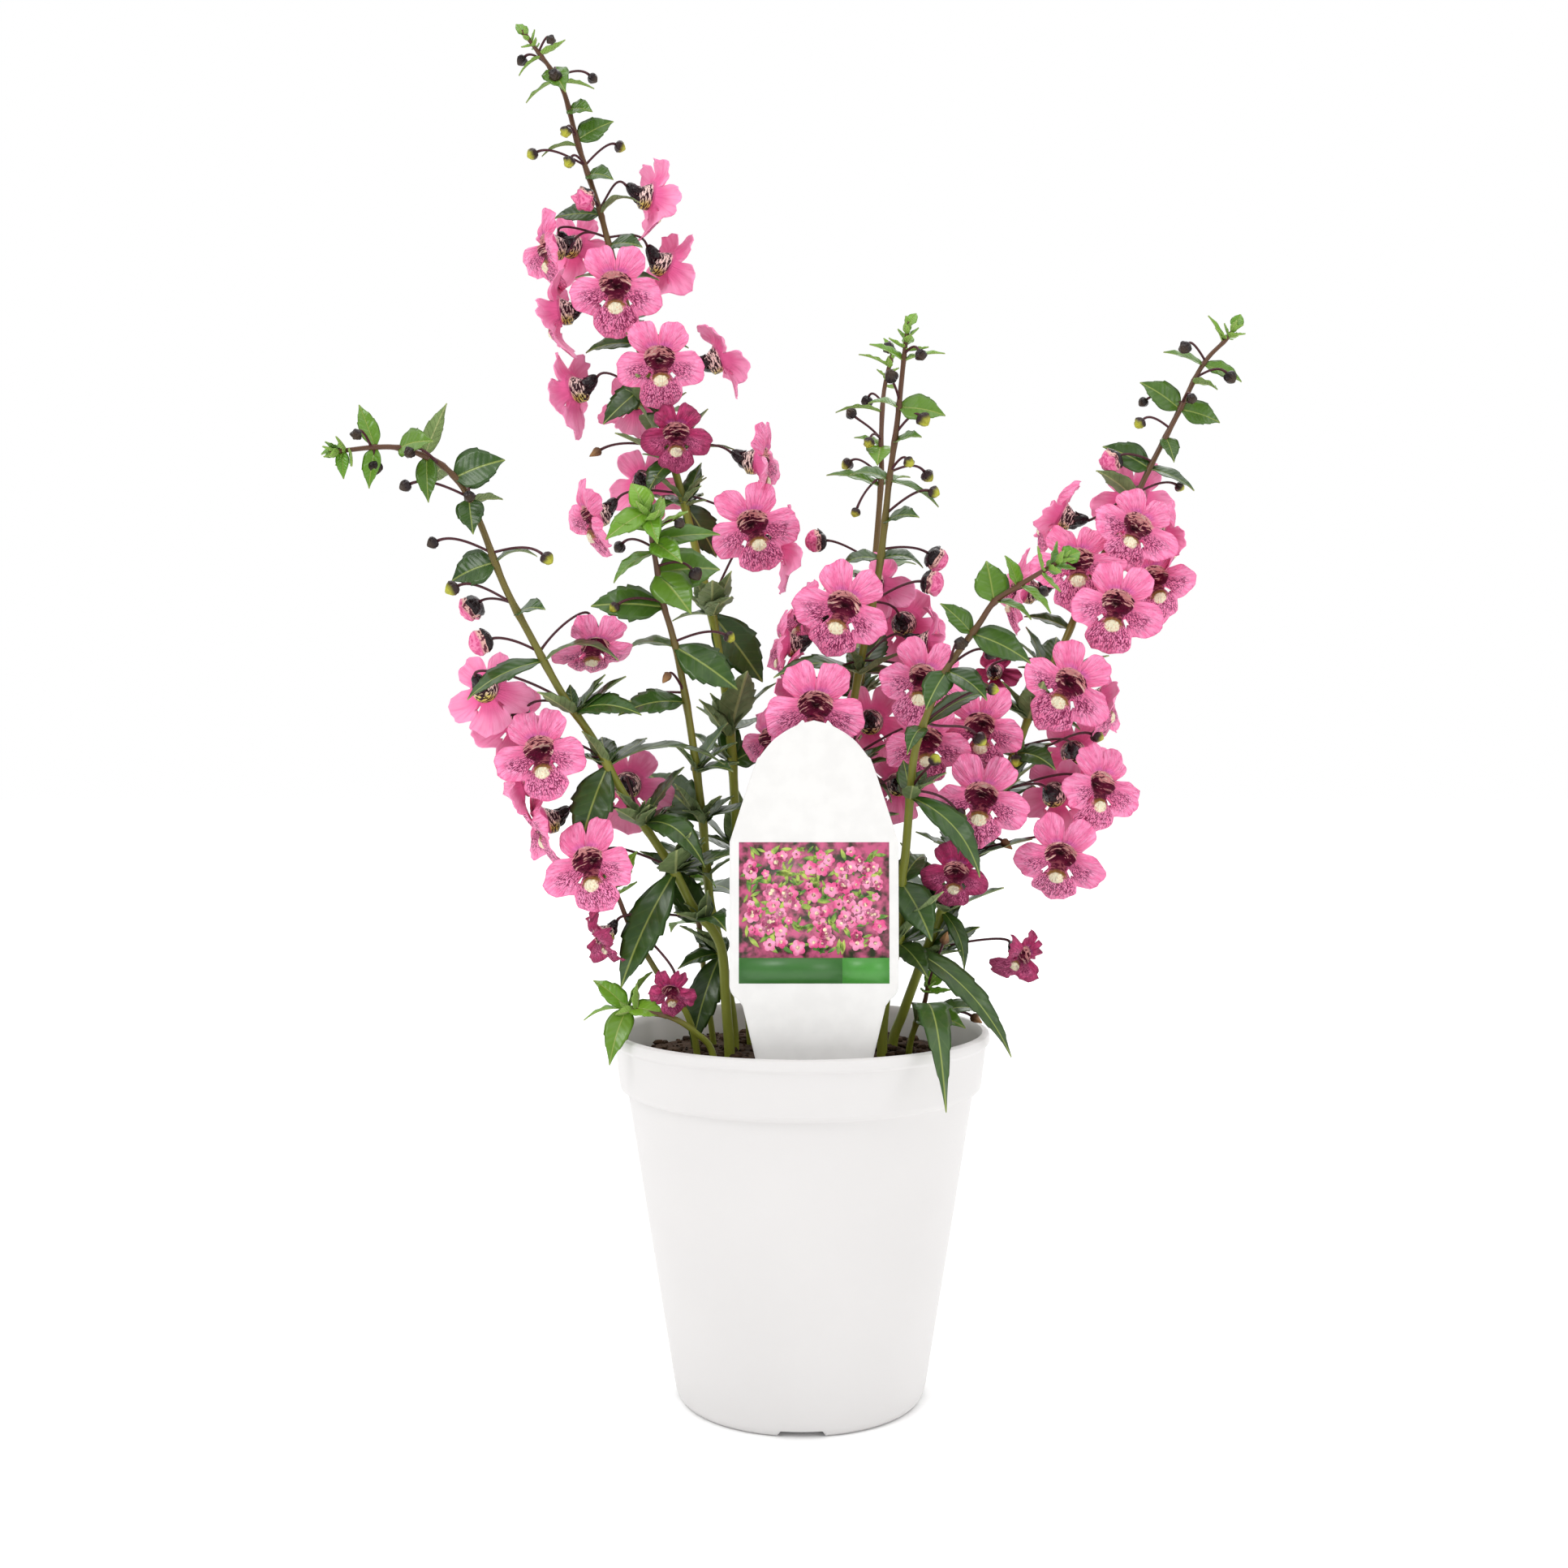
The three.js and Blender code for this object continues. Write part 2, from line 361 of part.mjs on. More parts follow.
// Place on a stem nearest to a photographed point: its number on the route, its point and its depth
function nearestOnStem(key, x, y) {
  const picks = STEM_PICKS[key];
  const spots = picks.slice(1).map((b, i) => {
    const [ax, ay, depth] = picks[i];
    const [wide, high] = [b[0] - ax, b[1] - ay];
    const share = ((x - ax) * wide + (y - ay) * high) / (wide * wide + high * high);
    const t = Math.min(1, Math.max(0, share));
    const spot = { place: i + t, x: ax + t * wide, y: ay + t * high, depth: depth + t * (b[2] - depth) };
    return { ...spot, miss: (spot.x - x) ** 2 + (spot.y - y) ** 2 };
  });
  return spots.reduce((best, spot) => (spot.miss < best.miss ? spot : best));
}

// Each stem's route in millimetres, with a first point at the root's depth in the soil
function stemRoute(picks) {
  const route = picks.map((pick) => rounded(seenAt(...pick), PLACE_STEP));
  const [[x, y]] = route;
  return [[x, y, ROOT_LEVEL], ...route];
}

function bloomRow([key, node, x, y, depth, azimuth, elevation, roll, size, move]) {
  const place = rounded(seenAt(x, y, stemDepth(key, y) + depth), PLACE_STEP, move);
  return [key, node, ...place, azimuth, elevation, roll, size];
}

function budRow(key, [x, y, depth, kind, move]) {
  return [...rounded(seenAt(x, y, stemDepth(key, y) + depth), PLACE_STEP, move), kind];
}

// A leaf's place along its route, its run from base to tip, and its width, bow and facing
function leafRow(key, [baseX, baseY, tipX, tipY, depth, width, bow, face, move]) {
  const spot = nearestOnStem(key, baseX, baseY);
  const base = seenAt(spot.x, spot.y, spot.depth);
  const run = seenAt(tipX, tipY, spot.depth + depth).sub(base);
  const place = Math.round((spot.place + 1) * 10) / 10;
  return [place, ...rounded(run, RUN_STEP, move), width, bow, face];
}

function forEachStem(picks, rowsOf) {
  return Object.fromEntries(Object.entries(picks).map(([key, rows]) => [key, rowsOf(rows, key)]));
}

const ROUTES = forEachStem(STEM_PICKS, stemRoute);
const BLOOMS = BLOOM_PICKS.map(bloomRow);
const BUDS = forEachStem(BUD_PICKS, (rows, key) => rows.map((row) => budRow(key, row)));
const LEAVES = forEachStem(LEAF_PICKS, (rows, key) => rows.map((row) => leafRow(key, row)));

// Joining and measuring helpers

// Repeatable draws between 0 and 1
function drawer(seed) {
  const modulus = 2147483647;
  const multiplier = 16807;
  let state = seed;
  return () => {
    state = (state * multiplier) % modulus;
    return state / modulus;
  };
}

function solidOf(points, faces) {
  const shell = new wasm.Mesh({
    numProp: 3,
    vertProperties: new Float32Array(points.flatMap((p) => [p.x, p.y, p.z])),
    triVerts: new Uint32Array(faces.flat()),
  });
  return new wasm.Manifold(shell);
}

function solidFrom(geometry) {
  const source = geometry.index ? geometry.toNonIndexed() : geometry;
  const position = source.getAttribute('position');
  const points = [];
  const known = new Map();
  const corners = [];
  for (let i = 0; i < position.count; i += 1) {
    const p = new THREE.Vector3().fromBufferAttribute(position, i);
    const key = p.toArray().map((v) => Math.round(v * 1e4)).join(' ');
    if (!known.has(key)) {
      known.set(key, points.length);
      points.push(p);
    }
    corners.push(known.get(key));
  }
  const faces = [];
  for (let i = 0; i < corners.length; i += 3) {
    const [a, b, c] = corners.slice(i, i + 3);
    if (a !== b && b !== c && c !== a) faces.push([a, b, c]);
  }
  return solidOf(points, faces);
}

// One body from overlapping solids, without needless corners or loose specks
function joined(solids) {
  const bodies = wasm.Manifold.union(solids).simplify(JOIN_TOLERANCE).decompose();
  return bodies.reduce((best, body) => (body.volume() > best.volume() ? body : best));
}

function meshOf(name, solid, look) {
  const shell = solid.getMesh();
  const geometry = new THREE.BufferGeometry();
  const corners = Float32Array.from(shell.vertProperties);
  geometry.setAttribute('position', new THREE.BufferAttribute(corners, 3));
  geometry.setIndex(Array.from(shell.triVerts));
  geometry.computeVertexNormals();
  const mesh = new THREE.Mesh(geometry, new THREE.MeshStandardMaterial(look));
  mesh.name = name;
  return mesh;
}

// Triangles between two rings of corners, which may differ in number; a ring of one corner is a point
function bridge(points, from, to) {
  const faces = [];
  const nearest = to.map((b) => points[b].distanceTo(points[from[0]]));
  const first = nearest.indexOf(Math.min(...nearest));
  const next = to.map((_, j) => to[(first + j) % to.length]);
  let i = 0;
  let j = 0;
  while (i < from.length || j < next.length) {
    const a = from[i % from.length];
    const b = next[j % next.length];
    if (i < from.length && (j >= next.length || (i + 1) / from.length <= (j + 1) / next.length)) {
      const a2 = from[(i + 1) % from.length];
      if (a !== a2) faces.push([a, a2, b]);
      i += 1;
    } else {
      const b2 = next[(j + 1) % next.length];
      if (b !== b2) faces.push([a, b2, b]);
      j += 1;
    }
  }
  return faces;
}

// Closed skin over rings of corners, each clockwise as seen along the way from first to last
function loft(rings) {
  const points = [];
  const index = rings.map((ring) => ring.map((p) => points.push(p) - 1));
  const faces = [];
  for (let i = 0; i + 1 < rings.length; i += 1) faces.push(...bridge(points, index[i], index[i + 1]));
  const first = index[0];
  const last = index[index.length - 1];
  for (let j = 1; j + 1 < first.length; j += 1) faces.push([first[0], first[j + 1], first[j]]);
  for (let j = 1; j + 1 < last.length; j += 1) faces.push([last[0], last[j], last[j + 1]]);
  return solidOf(points, faces);
}

function ringAt(centre, along, axis, radius, sides) {
  const u = axis.clone().addScaledVector(along, -axis.dot(along)).normalize();
  const v = along.clone().cross(u);
  return Array.from({ length: sides }, (_, j) => {
    const angle = (2 * Math.PI * j) / sides;
    return centre.clone().addScaledVector(u, radius * Math.cos(angle))
      .addScaledVector(v, radius * Math.sin(angle));
  });
}

// The world axis that the path turns toward least
function sideAxis(tangents) {
  const axes = [new THREE.Vector3(0, 1, 0), new THREE.Vector3(1, 0, 0), new THREE.Vector3(0, 0, 1)];
  const reach = (axis) => Math.max(...tangents.map((t) => Math.abs(t.dot(axis))));
  return axes.reduce((best, axis) => (reach(axis) < reach(best) - 0.2 ? axis : best));
}

function tubeRings(path, radii, sides) {
  const tangents = path.map((p, i) => {
    const before = path[Math.max(0, i - 1)];
    const after = path[Math.min(path.length - 1, i + 1)];
    return after.clone().sub(before).normalize();
  });
  const axis = sideAxis(tangents);
  return path.map((p, i) => ringAt(p, tangents[i], axis, radii[i], sides));
}

// Pot: tapered wall with a stepped rim band, foot ring, drain holes and foot notches

function potBody() {
  const profile = [
    [0, 0], [12, 0], [12.8, FOOT_HEIGHT], [29, FOOT_HEIGHT], [29.6, 0], [BASE_RADIUS, 0], [35.2, 1.2],
    [36, 4.4], [STEP_RADIUS, STEP_HEIGHT], [51.6, 89.5], [53.1, 101.4], [RIM_RADIUS, 102.2],
    [RIM_RADIUS, 104.4], [53.2, POT_HEIGHT], [51.7, POT_HEIGHT], [51.1, 102.6], [50.2, 90],
    [STEP_RADIUS - 1.2, STEP_HEIGHT], [34.9, 5], [33.4, 3.2], [0, 3.2],
  ];
  const body = new THREE.LatheGeometry(profile.map(([r, z]) => new THREE.Vector2(r, z)), POT_SIDES);
  return solidFrom(body.rotateX(Math.PI / 2));
}

function pot() {
  const cuts = [0, 1, 2, 3].flatMap((i) => {
    const turn = new THREE.Matrix4().makeRotationZ((i * Math.PI) / 2);
    const drain = new THREE.CylinderGeometry(DRAIN_RADIUS, DRAIN_RADIUS, 8, 8).rotateX(Math.PI / 2)
      .translate(DRAIN_CIRCLE * Math.SQRT1_2, DRAIN_CIRCLE * Math.SQRT1_2, 3).applyMatrix4(turn);
    const notch = new THREE.BoxGeometry(12, NOTCH_WIDTH, FOOT_HEIGHT * 2).translate(32.4, 0, 0)
      .applyMatrix4(turn);
    return [solidFrom(drain), solidFrom(notch)];
  });
  return potBody().subtract(wasm.Manifold.union(cuts));
}

// Soil: a filling with a rough domed top, plain holes for the stems and a slot for the tag

function soilBody() {
  const draw = drawer(SOIL_SEED);
  const rings = SOIL_LEVELS.map(([radius, z, rough], i) => {
    const turn = rough > 0 ? (i % 2) * 0.5 : 0;
    return Array.from({ length: SOIL_SIDES }, (_, j) => {
      const angle = (2 * Math.PI * (j + turn)) / SOIL_SIDES;
      const wide = radius + (radius < SOIL_RADIUS ? rough * (draw() - 0.5) : 0);
      return new THREE.Vector3(
        wide * Math.cos(angle), wide * Math.sin(angle), z + rough * (draw() - 0.5),
      );
    });
  });
  const bottom = new THREE.Vector3(0, 0, SOIL_LEVELS[0][1]);
  return loft([[bottom], ...rings, [new THREE.Vector3(0, 0, SOIL_TOP + 1.2)]]);
}

function stemHole(route, radius) {
  const [foot] = route;
  const wide = radius + HOLE_CLEARANCE;
  const hole = new THREE.CylinderGeometry(wide, wide, HOLE_LENGTH, HOLE_SIDES).rotateX(Math.PI / 2);
  return solidFrom(hole.translate(foot.x, foot.y, foot.z - HOLE_CLEARANCE + HOLE_LENGTH / 2));
}

function soil() {
  const holes = Object.values(STEMS).map((stem) => stemHole(stem.route, stem.radii[0]));
  return soilBody().subtract(wasm.Manifold.union([...holes, tagSolid(HOLE_CLEARANCE)]));
}

// Tag: a thin leaning plate with a domed head and a tapering stake

function tagSolid(extra) {
  const right = TAG_HALF_WIDTHS.map(([height, half]) => new THREE.Vector2(half + extra, height));
  right[0].y -= extra;
  const left = right.map((p) => new THREE.Vector2(-p.x, p.y)).reverse();
  const outline = new THREE.Shape([...right, new THREE.Vector2(0, TAG_HEIGHT), ...left]);
  const depth = TAG_THICKNESS + 2 * extra;
  const plate = new THREE.ExtrudeGeometry(outline, { depth, bevelEnabled: false });
  plate.translate(0, 0, -depth / 2).rotateX(Math.PI / 2 - TAG_LEAN).translate(...TAG_FOOT.toArray());
  return solidFrom(plate);
}

function distanceToTag(point) {
  const local = point.clone().sub(TAG_FOOT).applyAxisAngle(new THREE.Vector3(1, 0, 0), TAG_LEAN);
  if (local.z > TAG_HEIGHT) return local.z - TAG_HEIGHT;
  if (Math.abs(local.x) > TAG_HALF_WIDTH) return Math.abs(local.x) - TAG_HALF_WIDTH;
  return Math.abs(local.y) - TAG_THICKNESS / 2;
}

// Stems: a tapering tube along each route

function stemFrom(rows, base) {
  const route = rows.map((row) => new THREE.Vector3(...row));
  const radii = route.map((_, i) => base + ((STEM_TIP_RADIUS - base) * i) / (route.length - 1));
  return { route, radii };
}

const STEMS = Object.fromEntries(Object.entries(ROUTES).map(([key, rows]) => [
  key, stemFrom(rows, rows.length > SHOOT_POINTS ? STEM_BASE_RADIUS : SHOOT_BASE_RADIUS),
]));

// Point on a stem, where a whole number is a point of its route
function alongStem(stem, u) {
  const place = Math.min(u, stem.route.length - 1 - TIP_MARGIN);
  const i = Math.floor(place);
  return stem.route[i].clone().lerp(stem.route[i + 1], place - i);
}

// Flowers: five lobes around an open throat, with a pouch behind it

// Places on a flower: to its right, up and out of its face
function flowerFrame(row) {
  const [, , x, y, z, azimuth, elevation, roll, size] = row;
  const az = THREE.MathUtils.degToRad(azimuth);
  const el = THREE.MathUtils.degToRad(elevation);
  const turn = THREE.MathUtils.degToRad(roll);
  const face = new THREE.Vector3(
    Math.sin(az) * Math.cos(el), -Math.cos(az) * Math.cos(el), Math.sin(el),
  );
  const flatRight = new THREE.Vector3(0, 0, 1).cross(face).normalize();
  const flatUp = face.clone().cross(flatRight);
  const up = flatUp.clone().multiplyScalar(Math.cos(turn)).addScaledVector(flatRight, Math.sin(turn));
  const right = up.clone().cross(face);
  const scale = size / FLOWER_SIZE;
  return (lx, ly, lz) => new THREE.Vector3(x, y, z).addScaledVector(right, lx * scale)
    .addScaledVector(up, ly * scale).addScaledVector(face, lz * scale);
}

function polar(frame, degrees, radius, z, drop = 0) {
  const angle = THREE.MathUtils.degToRad(degrees);
  return frame(radius * Math.sin(angle), radius * Math.cos(angle) + drop, z);
}

function petalRim(index) {
  const draw = drawer(PETAL_SEED + index * PETAL_SEED_STEP);
  const other = PETAL_RIM.slice(1, -1).reverse().map(([angle, r, z]) => [360 - angle, r, z]);
  return [...PETAL_RIM, ...other].map(([angle, r, z]) => {
    const size = FLOWER_SIZE * r * (0.96 + 0.08 * draw());
    return [angle, size, z + PETAL_WAVE * (draw() - 0.5)];
  });
}

function flower(row, index) {
  const frame = flowerFrame(row);
  const ring = (radii, z, drop) => THROAT_ANGLES.map((a, i) => (
    polar(frame, a, radii[i] * FLOWER_SIZE, z, drop)));
  const rim = petalRim(index).map(([angle, r, z]) => polar(frame, angle, r, z));
  const centres = LOBE_CENTRES.map(([angle, r, z]) => polar(frame, angle, r * FLOWER_SIZE, z + 0.3));
  const throat = ring(THROAT_RADII, THROAT_LIP, 0);
  const back = ring(THROAT_BACK_RADII, THROAT_BACK, 0);
  const pouch = ring(THROAT_ANGLES.map(() => POUCH_RADIUS / FLOWER_SIZE), -POUCH_DEPTH, POUCH_SAG);
  const points = [...rim, ...centres, ...throat, ...back, ...pouch];
  const n = rim.length;
  const centreAt = n;
  const throatAt = n + 5;
  const backAt = n + 10;
  const pouchAt = n + 15;
  const recess = points.push(frame(0, 0.4, -THROAT_DEPTH)) - 1;
  const end = points.push(frame(0, 0.8, -POUCH_END)) - 1;
  const faces = [];
  LOBE_STARTS.forEach((from, lobe) => {
    const next = (lobe + 1) % 5;
    const to = lobe === 4 ? n : LOBE_STARTS[next];
    const edge = [throatAt + lobe];
    for (let k = from; k <= to; k += 1) edge.push(k % n);
    edge.push(throatAt + next);
    edge.forEach((a, k) => {
      faces.push([centreAt + lobe, edge[(k + 1) % edge.length], a]);
    });
    const middle = Math.floor((from + to) / 2);
    for (let k = from; k < to; k += 1) {
      faces.push([backAt + (k < middle ? lobe : next), k % n, (k + 1) % n]);
    }
    faces.push([backAt + lobe, middle % n, backAt + next]);
    faces.push([recess, throatAt + lobe, throatAt + next].reverse());
    faces.push([backAt + lobe, backAt + next, pouchAt + next]);
    faces.push([backAt + lobe, pouchAt + next, pouchAt + lobe]);
    faces.push([pouchAt + lobe, pouchAt + next, end]);
  });
  return solidOf(points, faces);
}

// Rings of the dark cup that holds each flower, from the flower stalk round to the cup's hollow
function calyxRings(frame, scale) {
  const gap = CALYX_GAP / scale;
  const around = THROAT_ANGLES.slice().reverse();
  const lip = around.map((a) => polar(frame, a, CALYX_RADIUS, -CALYX_DEPTH - gap, -0.3));
  return [lip, [frame(0, 0.8, -POUCH_END - gap)]];
}

// Flower buds

function budRings(centre, along, kind, size) {
  const axis = sideAxis([along]);
  return BUD_SHAPES[kind].map(([place, radius]) => {
    const p = centre.clone().addScaledVector(along, place * size);
    return radius === 0 ? [p] : ringAt(p, along, axis, radius * size, 5);
  });
}

// Obstacles: balls along everything already placed, each with the part it belongs to

const balls = [];

function addBalls(points, radius, owner) {
  points.forEach((p) => balls.push({ p, radius, owner }));
}

function potReach(point) {
  const r = Math.hypot(point.x, point.y);
  if (r < SOIL_RADIUS + 1 && point.z > SOIL_TOP / 2) return point.z - SOIL_TOP - SOIL_ROUGHNESS;
  const wall = point.z > STEP_HEIGHT - 1 ? RIM_RADIUS : STEP_RADIUS;
  return Math.max(r - wall, point.z - POT_HEIGHT);
}

function isClear(points, reach, owners) {
  return points.every((p) => {
    if (potReach(p) < reach || distanceToTag(p) < reach) return false;
    return balls.every(({ p: centre, radius, owner }) => (
      owners.includes(owner) || centre.distanceTo(p) > radius + reach));
  });
}

function flowerPoints(row) {
  const frame = flowerFrame(row);
  const spots = [[0.48, 0], [0.85, -14], [0.9, 0], [0.85, 14]];
  return LOBE_CENTRES.flatMap(([angle, , z]) => spots.map(([r, turn]) => (
    polar(frame, angle + turn, r * FLOWER_SIZE, z * 0.6))));
}

// Flower and bud stalks: a smooth arch from a leaf joint on the stem

function nearestJoint(key, target) {
  const stem = STEMS[key];
  const places = new Set(LEAVES[key].map((row) => row[0]));
  const joints = [...places].map((u) => alongStem(stem, u + STALK_SHIFT));
  const miss = (p) => {
    const level = Math.hypot(p.x - target.x, p.y - target.y);
    return Math.abs(p.z - target.z + 0.25 * level) + 0.35 * p.distanceTo(target);
  };
  return joints.reduce((best, p) => (miss(p) < miss(best) ? p : best));
}

const STALK_BENDS = [
  [0, 0], [0, 3], [3, 0], [-3, 0], [0, -3], [3, 3], [-3, 3], [0, 6], [6, 0], [-6, 0], [6, 4], [-6, 4],
  [0, -6], [5, -5], [-5, -5], [0, 10], [9, 3], [-9, 3],
];

function stalkPath(from, to, arrive, bend, steps) {
  const away = to.clone().sub(from);
  const aside = new THREE.Vector3(-away.y, away.x, 0).normalize();
  const lead = from.clone().addScaledVector(away, STALK_LEAD)
    .add(new THREE.Vector3(0, 0, STALK_LIFT + bend[1]))
    .addScaledVector(aside, bend[0]);
  const approach = arrive.clone().addScaledVector(aside, bend[0] * 0.4);
  const curve = new THREE.CubicBezierCurve3(from, lead, approach, to);
  return curve.getPoints(steps);
}

function stalk(key, from, to, arrive, end) {
  const clear = (path) => isClear(path.slice(2, -3), PEDICEL_RADIUS + STALK_GAP, [key]);
  const fits = (bend) => clear(stalkPath(from, to, arrive, bend, 12));
  const chosen = STALK_BENDS.find(fits) ?? STALK_BENDS[0];
  const path = stalkPath(from, to, arrive, chosen, Math.ceil(from.distanceTo(to) / STALK_STEP));
  addBalls(stalkPath(from, to, arrive, chosen, 8), PEDICEL_RADIUS, key);
  return loft([...tubeRings(path, path.map(() => PEDICEL_RADIUS), 3), ...end]);
}

function flowerStalk(row) {
  const frame = flowerFrame(row);
  const to = frame(...STALK_SEAT);
  const cup = calyxRings(frame, row[8] / FLOWER_SIZE);
  return stalk(row[0], nearestJoint(row[0], to), to, frame(...STALK_ARCH), cup);
}

function budStalk(key, [x, y, z, kind], size) {
  const centre = new THREE.Vector3(x, y, z);
  const from = nearestJoint(key, centre);
  const away = centre.clone().sub(from);
  const nod = away.z > 0.6 * away.length() ? 0 : 2.5 * size;
  const arrive = centre.clone().addScaledVector(away, -0.3).add(new THREE.Vector3(0, 0, nod));
  const along = centre.clone().sub(arrive).normalize();
  const to = centre.clone().addScaledVector(along, -size * (kind === 1 ? 1.9 : 0.85));
  return stalk(key, from, to, arrive, budRings(centre, along, kind, size));
}

// Leaves: toothed blades with a keel, tried in a few turned poses until one passes everything else

const LEAF_TURNS = [
  [0, 0, 1], [9, 0, 1], [-9, 0, 1], [0, 10, 1], [0, -10, 1], [18, 0, 1], [-18, 0, 1],
  [14, 12, 1], [-14, 12, 1], [14, -12, 1], [-14, -12, 1], [0, 22, 1], [0, -22, 1],
  [30, 0, 0.9], [-30, 0, 0.9], [28, 20, 0.9], [-28, 20, 0.9], [45, 0, 0.85], [-45, 0, 0.85],
  [0, 36, 0.8], [0, -36, 0.8], [0, 0, 0.6],
];

function turnedChord(chord, [yaw, pitch, scale]) {
  const level = new THREE.Vector3(-chord.y, chord.x, 0);
  if (level.length() < 0.1) level.set(1, 0, 0);
  return chord.clone().applyAxisAngle(level.normalize(), -THREE.MathUtils.degToRad(pitch))
    .applyAxisAngle(new THREE.Vector3(0, 0, 1), THREE.MathUtils.degToRad(yaw)).multiplyScalar(scale);
}

function leafOutline(length) {
  if (length < SMALL_LEAF) return LEAF_OUTLINES.small;
  return length < LARGE_LEAF ? LEAF_OUTLINES.medium : LEAF_OUTLINES.large;
}

function leafBlade(base, chord, width, bend, face) {
  const lean = THREE.MathUtils.degToRad(face);
  const along = chord.clone().normalize();
  const wish = new THREE.Vector3(0, -Math.sin(lean) - 0.05, Math.cos(lean));
  const normal = wish.addScaledVector(along, -wish.dot(along)).normalize();
  const side = along.clone().cross(normal);
  const middle = base.clone().addScaledVector(chord, 0.5).addScaledVector(normal, bend * LEAF_BOW);
  const curve = new THREE.QuadraticBezierCurve3(base, middle, base.clone().add(chord));
  const outline = leafOutline(chord.length());
  const rings = outline.map(([s, w]) => {
    const centre = curve.getPoint(s);
    const half = Math.max(LEAF_HALF_MIN, (w * width) / 2);
    const left = centre.clone().addScaledVector(side, half).addScaledVector(normal, LEAF_LIFT);
    const right = centre.clone().addScaledVector(side, -half).addScaledVector(normal, LEAF_LIFT);
    return [left, centre.clone().addScaledVector(normal, -LEAF_KEEL), right];
  });
  return [[base], ...rings, [curve.getPoint(1)]];
}

function leaf(key, [u, dx, dy, dz, width, bend, face]) {
  const base = alongStem(STEMS[key], u);
  for (const turn of LEAF_TURNS) {
    const chord = turnedChord(new THREE.Vector3(dx, dy, dz), turn);
    const rings = leafBlade(base, chord, width * Math.sqrt(turn[2]), bend, face);
    const corners = rings.slice(1).flat();
    const middles = rings.slice(1, -1).map((ring) => ring[0].clone().lerp(ring[2], 0.5));
    const between = rings.slice(2, -1).flatMap((ring, i) => (
      ring.map((p, j) => p.clone().lerp(rings[i + 1][j], 0.5))));
    const points = [...corners, ...middles, ...between];
    if (isClear(points, PASSING_GAP, [key])) {
      addBalls(points, LEAF_REACH, key);
      return [loft(rings)];
    }
  }
  return [];
}

// Whole plant

function stemSolids() {
  const solids = {};
  Object.entries(STEMS).forEach(([key, { route, radii }]) => {
    solids[key] = [loft(tubeRings(route, radii, STEM_SIDES))];
    const marks = Array.from({ length: 5 * (route.length - 1) }, (_, i) => alongStem({ route }, i / 5));
    addBalls(marks, STEM_REACH, key);
  });
  BLOOMS.forEach((row) => {
    const frame = flowerFrame(row);
    addBalls(flowerPoints(row), PETAL_REACH, 'flower');
    addBalls([frame(0, -0.4, -3.2)], POUCH_REACH * (row[8] / FLOWER_SIZE), 'flower');
    addBalls([frame(0, 0.8, -8)], CALYX_REACH, 'flower');
  });
  const draw = drawer(BUD_SEED);
  const sized = Object.entries(BUDS).flatMap(([key, rows]) => rows.map((row) => {
    const size = BUD_SIZES[row[3]] + BUD_SPREADS[row[3]] * draw();
    addBalls([new THREE.Vector3(...row)], size * (row[3] === 1 ? 2.5 : 1), key);
    return { key, row, size };
  }));
  BLOOMS.forEach((row) => solids[row[0]].push(flowerStalk(row)));
  sized.forEach(({ key, row, size }) => solids[key].push(budStalk(key, row, size)));
  Object.entries(LEAVES).forEach(([key, rows]) => {
    rows.forEach((row) => solids[key].push(...leaf(key, row)));
  });
  return solids;
}

function flowerNodes() {
  const nodes = new Map();
  BLOOMS.forEach((row, i) => {
    const solid = flower(row, i);
    nodes.set(row[1], nodes.has(row[1]) ? nodes.get(row[1]).add(solid) : solid);
  });
  return nodes;
}

const group = new THREE.Group();
group.name = 'potted_summer_snapdragon';
group.add(meshOf('pot', pot(), { color: 0xe6e4e1, roughness: 0.5, metalness: 0 }));
group.add(meshOf('soil', soil(), { color: 0x2b211a, roughness: 0.95, metalness: 0 }));
group.add(meshOf('tag', tagSolid(0), { color: 0xf0efec, roughness: 0.4, metalness: 0 }));
Object.entries(stemSolids()).forEach(([key, solids]) => {
  const look = { color: 0x3f6b2f, roughness: 0.55, metalness: 0 };
  group.add(meshOf(`stem_${key}`, joined(solids), look));
});
flowerNodes().forEach((solid, key) => {
  group.add(meshOf(`bloom_${key}`, solid, { color: 0xe0559a, roughness: 0.6, metalness: 0 }));
});

export default group;
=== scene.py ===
import math

import bpy
import numpy as np
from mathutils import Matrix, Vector, noise


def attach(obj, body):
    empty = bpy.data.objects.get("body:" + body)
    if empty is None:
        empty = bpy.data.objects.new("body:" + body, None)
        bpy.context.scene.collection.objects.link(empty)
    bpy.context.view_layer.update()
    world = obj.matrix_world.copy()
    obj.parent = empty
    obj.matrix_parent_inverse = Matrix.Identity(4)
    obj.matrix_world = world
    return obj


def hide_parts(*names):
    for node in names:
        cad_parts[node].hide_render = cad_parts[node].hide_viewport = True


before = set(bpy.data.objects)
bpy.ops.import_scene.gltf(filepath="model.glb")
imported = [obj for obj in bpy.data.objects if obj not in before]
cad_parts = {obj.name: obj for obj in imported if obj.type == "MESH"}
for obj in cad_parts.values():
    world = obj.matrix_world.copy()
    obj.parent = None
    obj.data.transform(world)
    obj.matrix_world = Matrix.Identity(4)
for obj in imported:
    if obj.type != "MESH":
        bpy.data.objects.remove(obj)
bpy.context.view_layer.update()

# Places and sizes are in millimetres until a piece is made, with +Z up and the camera side at -Y.

MM = 0.001
TURN = 6.2832

